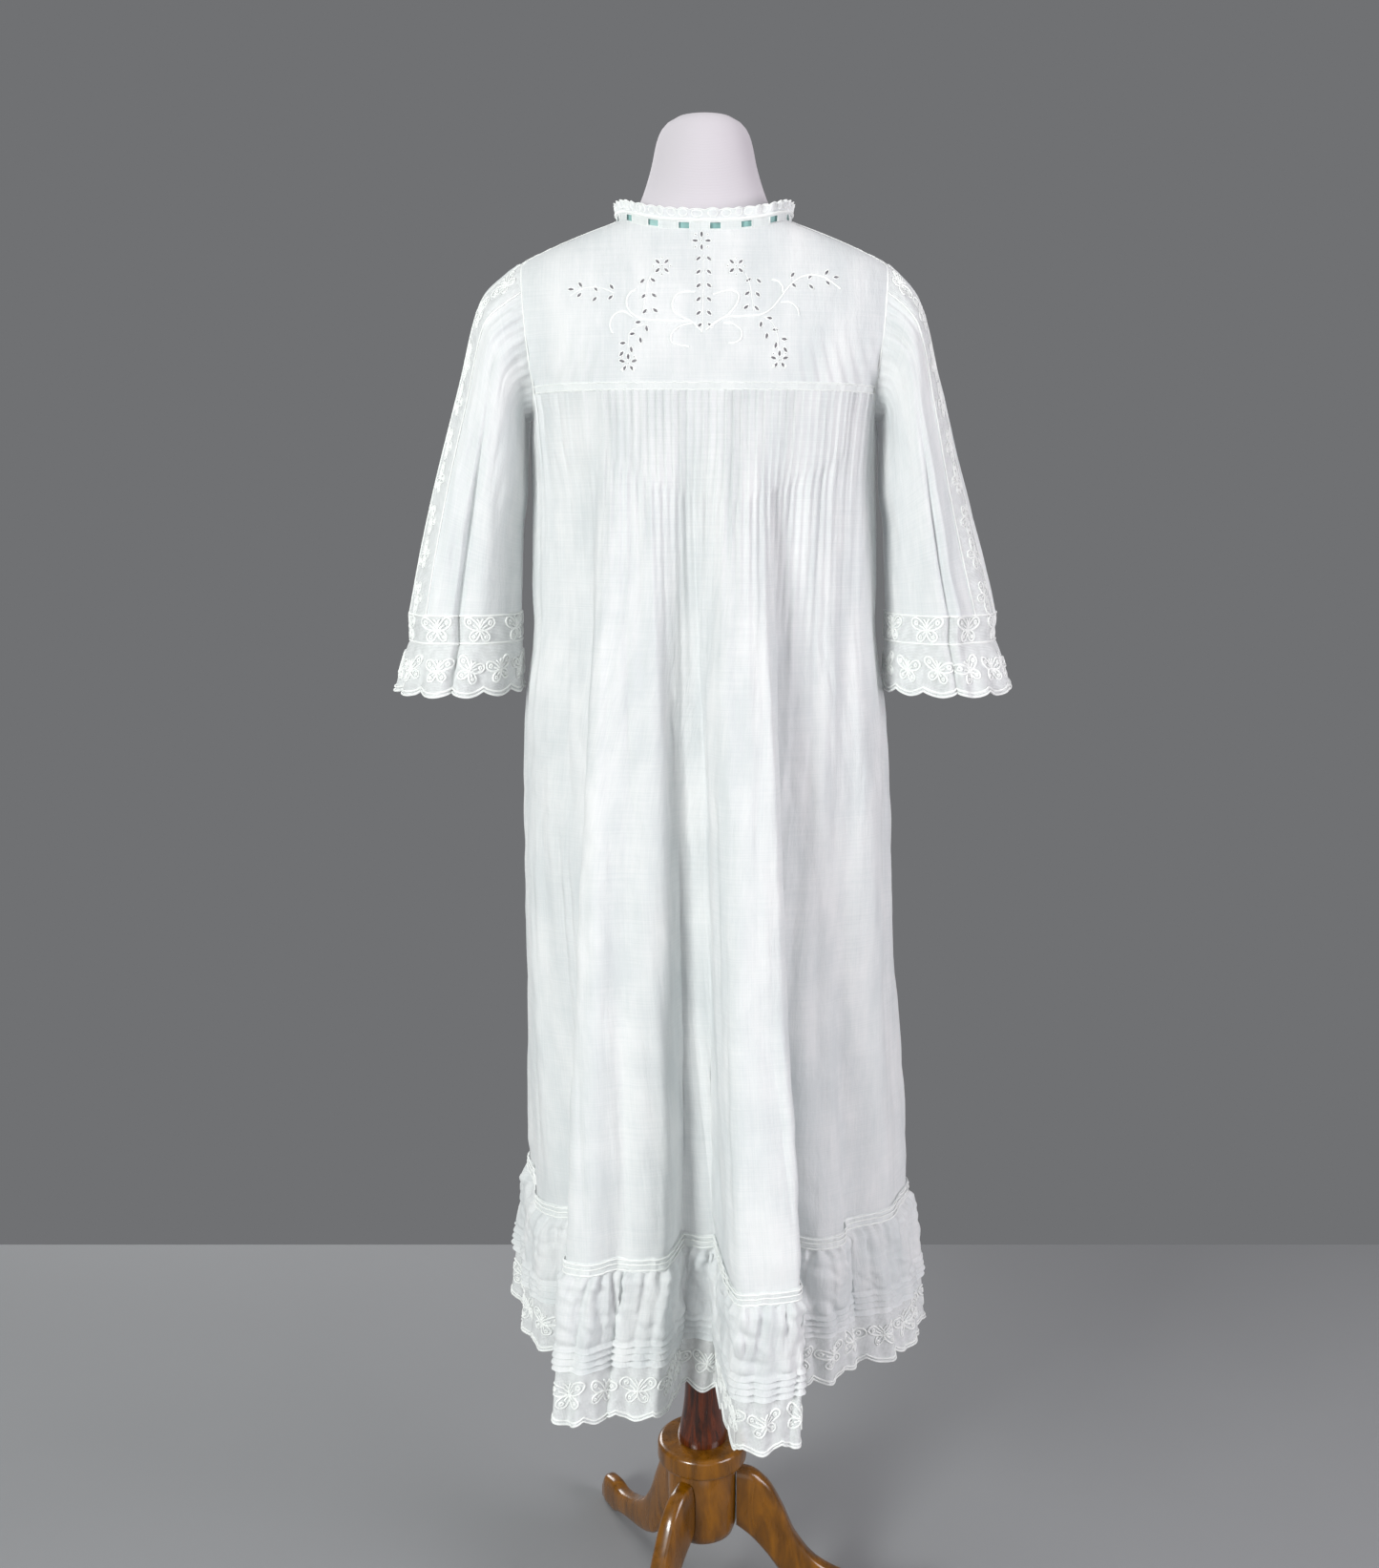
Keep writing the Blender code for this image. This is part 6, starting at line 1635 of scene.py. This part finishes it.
def make_neckband(name, first):
    """Half the neckband: beading lace with a row of slots, corded round each and along it."""
    slots = [FIRST_SLOT + i * SLOT_PITCH for i in range(BEADING_SLOTS)]
    half_slot = SLOT_WIDTH / 2
    angles = np.linspace(first + 0.35, first + 179.65, 300)
    lengths = row_lengths(neck_place(angles, 0.0, NECKBAND_IN))

    def place(length, up):
        return neck_place(np.interp(length, lengths, angles), up, NECKBAND_IN)

    seat = Seat(place, NECK_STEPS)
    stops = [0.0]
    for slot in slots:
        stops += [*np.linspace(stops[-1], slot - half_slot, 7)[1:],
                  *np.linspace(slot - half_slot, slot + half_slot, 5)[1:]]
    stops = np.array([*stops, *np.linspace(stops[-1], lengths[-1], 9)[1:]])
    ups = np.array([BAND_HIGH, BAND_HIGH - 0.001, SLOT_HIGH,
                    *np.linspace(SLOT_HIGH, SLOT_LOW, 5)[1:-1], SLOT_LOW, SLOT_LOW - 0.0012,
                    BAND_FOOT])
    length, up = np.meshgrid(stops, ups)
    middles, rows = (stops[:-1] + stops[1:]) / 2, (ups[:-1] + ups[1:]) / 2
    across = np.abs(middles[:, None] - np.array(slots)).min(axis=1) < half_slot
    keep = ~(across[None, :] & ((rows < SLOT_HIGH) & (rows > SLOT_LOW))[:, None])
    made = grid_mesh(f"neckband_{name}_cloth", raised(seat, length, up, SHEET), tape_cloth,
                     keep=keep)
    run = np.linspace(0.0, lengths[-1], 140)
    lines = [(run, BAND_HIGH - 0.0007), (run, BAND_FOOT + 0.0016)]
    rise = np.linspace(SLOT_LOW - 0.0004, SLOT_HIGH + 0.0004, 6)
    lines += [(slot + side * (half_slot + 0.0003), rise) for slot in slots for side in (-1, 1)]
    corded = [(raised(seat, length, up, SHEET + 0.0003), False) for length, up in lines]
    trim = cords(f"neckband_{name}_cords", corded, 0.00055, "cotton_lawn", 0.0008, 0.2)
    dress(made, f"neckband_{name}")


def ribbon_place(angle, up):
    """The ribbon runs behind the beading, a little in and out."""
    return neck_place(angle, up, NECKBAND_IN + 0.0022 + 0.0004 * np.sin(np.radians(angle) * 14))


def frill_place(angle, up):
    flare = np.clip(up / FRILL_HEIGHT, 0, 1)
    wave = np.sin(2 * np.pi * FRILL_WAVES * (angle / 360.0) + 0.8 * np.sin(np.radians(angle) * 5))
    out = 0.0010 * flare + mix(0.0006, 0.0024, flare) * wave
    return neck_place(angle, BAND_HIGH + up, NECKBAND_IN - out - 0.0004)


def make_frill():
    """The gathered frill, with an edge of small loops and a cord along its seam."""
    run = np.linspace(0, 360, FRILL_WAVES * 14 + 1)[:-1]

    def top(angle):
        wave = np.abs(np.sin(np.radians(angle) * FRILL_WAVES))
        return FRILL_HEIGHT * (0.86 + 0.14 * wave)

    angle, v = np.meshgrid(run, np.linspace(1, 0, 12))
    crumple = 0.0003 * soft_noise(angle, v, 4.0, 0.4, 71)
    points = raised(Seat(frill_place, (0.3, 0.0005)), angle, top(angle) * v, crumple)
    made = grid_mesh("neck_frill_cloth", points, lawn, closed=True)
    loops = [(frill_place(run, top(run)), True, 1.0)]
    for i in range(2 * FRILL_WAVES):
        middle = 360.0 * (i + 0.5) / (2 * FRILL_WAVES)
        bend = np.array([middle, 0.0070]) + ring(0.0, 0.0, 1.0, 10) * np.array([1.9, 0.0034])
        loops.append((frill_place(bend[:, 0], bend[:, 1]), True, 1.3))
    edge = cords("neck_frill_edge", loops, 0.00055, "cotton_lawn", 0.0010, 0.3)
    roll = neck_place(run, BAND_HIGH + 0.0008, NECKBAND_IN - 0.0016)
    cord = cords("neck_cord", [(roll, True)], 0.0013, "cotton_lawn", 0.0016, 0.12, 8)
    dress(made, "neck_frill")


def make_neck():
    make_neckband("back", -90.0)
    make_neckband("front", 90.0)
    angle, up = np.meshgrid(np.linspace(0, 360, 241)[:-1], np.linspace(0.0004, 0.0084, 7))
    points = raised(Seat(ribbon_place, (0.5, 0.0005)), angle, up, 0.0)
    made = grid_mesh("neck_ribbon_silk", points, ribbon_silk, closed=True)
    dress(made, "neck_ribbon")
    make_frill()


# Front closing


def placket_place(x, z):
    """The front strip's seat: the yoke above the tape, and the front panel below it."""
    lower = skirt(180.0 - np.degrees(np.arctan2(x, along(BODY, "front", z))), z)[..., 1]
    y = np.where(z > YOKE_LINE, depth_at(x, False, z), lower)
    return points_of(x, y + CLOTH * 1.5 + PLACKET_LIFT, z)


def make_closing():
    edge = PLACKET_HALF_WIDTH
    x, z = np.meshgrid(np.linspace(-edge, edge, 20),
                       np.linspace(NECK_FRONT - 0.002, PLACKET_BASE, 110))
    wavy = CLOTH / 2 + 0.0003 * np.cos(x * 900)
    made = grid_mesh("front_placket_cloth", placket_place(x, z) + points_of(0.0, wavy, 0.0), lawn)
    sewn = edge - 0.002
    rise = np.linspace(PLACKET_BASE + 0.002, NECK_FRONT - 0.004, 90)
    across = np.linspace(-sewn, sewn, 12)
    lines = [(0 * rise - sewn, rise), (0 * rise + sewn, rise),
             (across, 0 * across + PLACKET_BASE + 0.003)]
    out = np.array([0.0, CLOTH / 2 + 0.0004, 0.0])
    trim = stitches("front_placket_stitches",
                    [(placket_place(x, z) + out, False) for x, z in lines])
    dress(made, "front_placket")
    for number, z in enumerate(BUTTON_HEIGHTS, 1):
        make_button(number, z)


BUTTON_RIM = 0.0046
BUTTON_RINGS = (BUTTON_RIM, 0.0040, 0.0034, 0.0026)
BUTTON_SUNK = 0.0006
BUTTON_BEVEL = 0.0007
HOLE_REACH = 0.0013
HOLE_RADIUS = 0.00045
HOLE_ANGLES = (45, 135, 225, 315)


def make_button(number, z):
    """A shell button with a sunk middle and four holes, turned to lie on the strip."""
    seat = placket_place(np.array([0.0]), np.array([z]))[0]
    ends = placket_place(np.zeros(2), np.array([z - 0.004, z + 0.004]))
    lean = math.atan2(ends[1, 1] - ends[0, 1], 0.008)
    half = BUTTON_THICKNESS / 2
    holes = [ring(HOLE_REACH * math.cos(t), HOLE_REACH * math.sin(t), HOLE_RADIUS, 10)
             for t in np.radians(HOLE_ANGLES)]
    rings = [ring(0, 0, BUTTON_RADIUS, 40)] + [ring(0, 0, r, 32) for r in BUTTON_RINGS]
    places, faces = triangles(rings + holes, np.empty((0, 2)), 1e-9)
    middles = places[faces].mean(axis=1)
    for hole in holes:
        outside = ~inside(hole, middles[:, 0], middles[:, 1])
        faces, middles = faces[outside], middles[outside]
    reach = np.linalg.norm(places, axis=1)
    top = half - BUTTON_SUNK * ease((BUTTON_RIM - reach) / 0.0010)
    top = top - BUTTON_BEVEL * ease((reach - BUTTON_RIM) / 0.0009)
    count = len(places)
    across, up = np.tile(places, (2, 1)).T
    out = np.concatenate([top, np.full(count, -half)])
    solid = [tuple(face) for face in faces] + [tuple(face[::-1] + count) for face in faces]
    borders = dict.fromkeys((face[i], face[(i + 1) % 3]) for face in faces for i in range(3))
    solid += [(b, a, a + count, b + count) for a, b in borders if (b, a) not in borders]
    y = out * math.cos(lean) + up * math.sin(lean) + seat[1] + CLOTH + BUTTON_GAP + half
    placed = np.stack([-across, y, up * math.cos(lean) - out * math.sin(lean) + seat[2]], -1)
    mesh = bpy.data.meshes.new(f"button_{number}_shell")
    mesh.from_pydata(placed, [], [tuple(int(corner) for corner in face) for face in solid])
    made = mesh_object(f"button_{number}_shell", mesh, pearl)
    mesh.set_sharp_from_angle(angle=math.radians(35))
    dress(made, f"button_{number}")


# Dress form and stand


def closed_ends(made, ends, material):
    """Closes rings of a mesh with a point at the middle of each."""
    mesh = made.data
    points = [tuple(vertex.co) for vertex in mesh.vertices]
    faces = [tuple(face.vertices) for face in mesh.polygons]
    for corners, middle in ends:
        points.append(middle)
        corners = list(corners)
        for corner, after in zip(corners, corners[1:] + corners[:1]):
            faces.append((corner, after, len(points) - 1))
    fresh = bpy.data.meshes.new(mesh.name)
    fresh.from_pydata(points, [], faces)
    fresh.validate()
    whole = bmesh.new()
    whole.from_mesh(fresh)
    bmesh.ops.recalc_face_normals(whole, faces=whole.faces)
    whole.to_mesh(fresh)
    whole.free()
    fresh.materials.append(material)
    fresh.shade_smooth()
    fresh.set_sharp_from_angle(angle=math.radians(45))
    made.data = fresh


def swept_piece(name, points, material, node, first, last):
    """A solid of rings of points, one after another, closed at the first and the last."""
    rows, sides = points.shape[:2]
    made = grid_mesh(name, points, material, closed=True)
    closed_ends(made, [(range(sides), tuple(first)),
                       (range((rows - 1) * sides, rows * sides), tuple(last))], material)
    dress(made, node)


def make_form():
    heights = np.concatenate([np.linspace(FORM_BASE, FORM_NECK, 120), [1.7005, 1.7017, 1.7023]])
    angle, z = np.meshgrid(np.linspace(0, 360, 97)[:-1], heights)
    points = wall(FORM, angle, np.minimum(z, FORM_NECK))
    cap = np.sqrt(np.clip((FORM_TOP - z) / (FORM_TOP - FORM_NECK), 0, 1))
    points[..., :2] *= np.where(z > FORM_NECK, cap, 1.0)[..., None]
    points[..., 2] = z
    swept_piece("form_torso_jersey", points, jersey, "form_torso",
                (0.0, 0.0, FORM_BASE), (0.0, 0.0, FORM_TOP))


def turned_piece(node, profile, material, sides=96):
    """A turned piece: a smooth profile of radius and height swept round the pole's axis."""
    turn = 2 * np.pi * np.arange(sides) / sides
    points = np.array([points_of(r * np.cos(turn), r * np.sin(turn), z) for r, z in profile])
    swept_piece(f"{node}_wood", points, material, node,
                (0.0, 0.0, profile[0][1]), (0.0, 0.0, profile[-1][1]))


def arc_profile(corner_r, corner_z, size, start, count=6):
    """Points of a rounded corner, from the angle start through a quarter turn."""
    turns = np.radians(start) + np.linspace(0, np.pi / 2, count)
    return [(corner_r + size * math.cos(t), corner_z + size * math.sin(t)) for t in turns]


def make_stand():
    top = COLLAR_BASE + COLLAR_HEIGHT
    base = top + SEAM
    foot = [(mix(POLE_RADIUS, POLE_FOOT_RADIUS, (1 - t) ** 2.2), base + 0.006 + 0.074 * t)
            for t in np.linspace(0, 1, 16)]
    pole = [(POLE_FOOT_RADIUS, base), *foot, (POLE_RADIUS, 0.6), (POLE_RADIUS, FORM_BASE - SEAM)]
    turned_piece("stand_pole", pole, dark_wood)
    inner = COLLAR_RADIUS - COLLAR_EDGE
    collar = (arc_profile(inner, COLLAR_BASE + COLLAR_EDGE, COLLAR_EDGE, -90)
              + arc_profile(inner, top - COLLAR_EDGE, COLLAR_EDGE, 0))
    turned_piece("stand_collar", collar, golden_wood)
    hub_top = COLLAR_BASE - SEAM
    hub = [(HUB_RADIUS * 0.55, HUB_BASE), (HUB_RADIUS * 0.80, HUB_BASE + 0.002),
           (HUB_RADIUS * 0.93, HUB_BASE + 0.006), (HUB_RADIUS, HUB_BASE + 0.015),
           (HUB_RADIUS, hub_top - 0.002), (HUB_RADIUS - 0.0015, hub_top)]
    turned_piece("stand_hub", hub, golden_wood)
    for number, angle in enumerate(LEG_ANGLES, 1):
        make_leg(number, angle)


def make_leg(number, angle):
    """A curved leg with rounded edges, from the hub to its foot."""
    turn = math.radians(angle)
    outwards = np.array([math.cos(turn), math.sin(turn), 0.0])
    sideways = np.array([-math.sin(turn), math.cos(turn), 0.0])
    upwards = np.array([0.0, 0.0, 1.0])
    around = 2 * np.pi * np.arange(28) / 28
    across = signed_power(np.cos(around), 0.55)
    up = 0.5 + 0.5 * signed_power(np.sin(around), 0.60)
    points = []
    for reach in np.linspace(LEG[0].reach, LEG[-1].reach, 70):
        taper = mix(1.0, LEG_TAPER, (reach - LEG[0].reach) / (LEG[-1].reach - LEG[0].reach))
        taper *= mix(1.0, TOE_TAPER, float(ease((reach - TOE_FROM) / TOE_LENGTH)))
        lower, upper = along(LEG, "lower", reach), along(LEG, "upper", reach)
        points.append(outwards * reach + sideways * (across * LEG_WIDTH / 2 * taper)[:, None]
                      + upwards * mix(lower, upper, up)[:, None])
    points = np.array(points)
    swept_piece(f"stand_leg_{number}_wood", points, golden_wood, f"stand_leg_{number}",
                points[0].mean(axis=0), points[-1].mean(axis=0))


# Camera, light and floor

PHOTO_HEIGHT = 1643
FOCAL_LENGTH = 1650
SENSOR = 24.0
CAMERA_PLACE = (-0.015, -1.70, 1.31)
CAMERA_TILT = 80
Lamp = namedtuple("Lamp", "name x y z size power colour")
LAMPS = (
    Lamp("key", -1.80, -2.45, 1.65, 0.9, 82.0, "#FCFFFD"),
    Lamp("front fill", 0.30, -2.90, 0.80, 1.6, 6.0, "#FFFFFF"),
    Lamp("side fill", 2.30, -1.40, 1.40, 1.3, 46.0, "#FFFAFF"),
    Lamp("top", 0.00, 0.10, 3.40, 1.8, 20.0, "#FFFFFF"),
    Lamp("front of the dress", -1.60, 2.55, 1.60, 1.4, 50.0, "#FFFFFF"),
)
LAMPS_AIM = Vector((0.0, 0.0, 1.0))
FLOOR_ACROSS = 1.60
FLOOR_DEEP = 0.95


def make_camera():
    data = bpy.data.cameras.new("camera")
    data.sensor_fit = "VERTICAL"
    data.sensor_height = SENSOR
    data.lens = FOCAL_LENGTH / PHOTO_HEIGHT * SENSOR
    camera = bpy.data.objects.new("camera", data)
    camera.location = CAMERA_PLACE
    camera.rotation_euler = (math.radians(CAMERA_TILT), 0.0, 0.0)
    bpy.context.scene.collection.objects.link(camera)
    bpy.context.scene.camera = camera


def make_light():
    for lamp in LAMPS:
        data = bpy.data.lights.new(lamp.name, "AREA")
        data.shape = "SQUARE"
        data.size = lamp.size
        data.energy = lamp.power
        data.color = shade(lamp.colour)[:3]
        made = bpy.data.objects.new(lamp.name, data)
        made.location = (lamp.x, lamp.y, lamp.z)
        made.rotation_euler = (LAMPS_AIM - made.location).to_track_quat("-Z", "Y").to_euler()
        bpy.context.scene.collection.objects.link(made)
    world = bpy.data.worlds.new("studio")
    world.use_nodes = True
    world.node_tree.nodes["Background"].inputs["Color"].default_value = shade(BACKDROP_GREY)
    bpy.context.scene.world = world
    mesh = bpy.data.meshes.new("floor")
    corners = [(x * FLOOR_ACROSS, y * FLOOR_DEEP, 0.0) for x, y in
               ((-1, -1), (1, -1), (1, 1), (-1, 1))]
    mesh.from_pydata(corners, [], [(0, 1, 2, 3)])
    mesh_object("floor", mesh, plain_floor("painted floor", FLOOR_GREY))
    bpy.context.scene.view_settings.view_transform = "Standard"


make_camera()
make_form()
make_stand()
make_back_yoke()
make_front_yokes()
make_shoulder_lace()
make_tapes()
make_back_skirt()
make_front_skirt()
make_hem()
make_sleeves()
make_cuffs()
make_neck()
make_closing()
make_light()
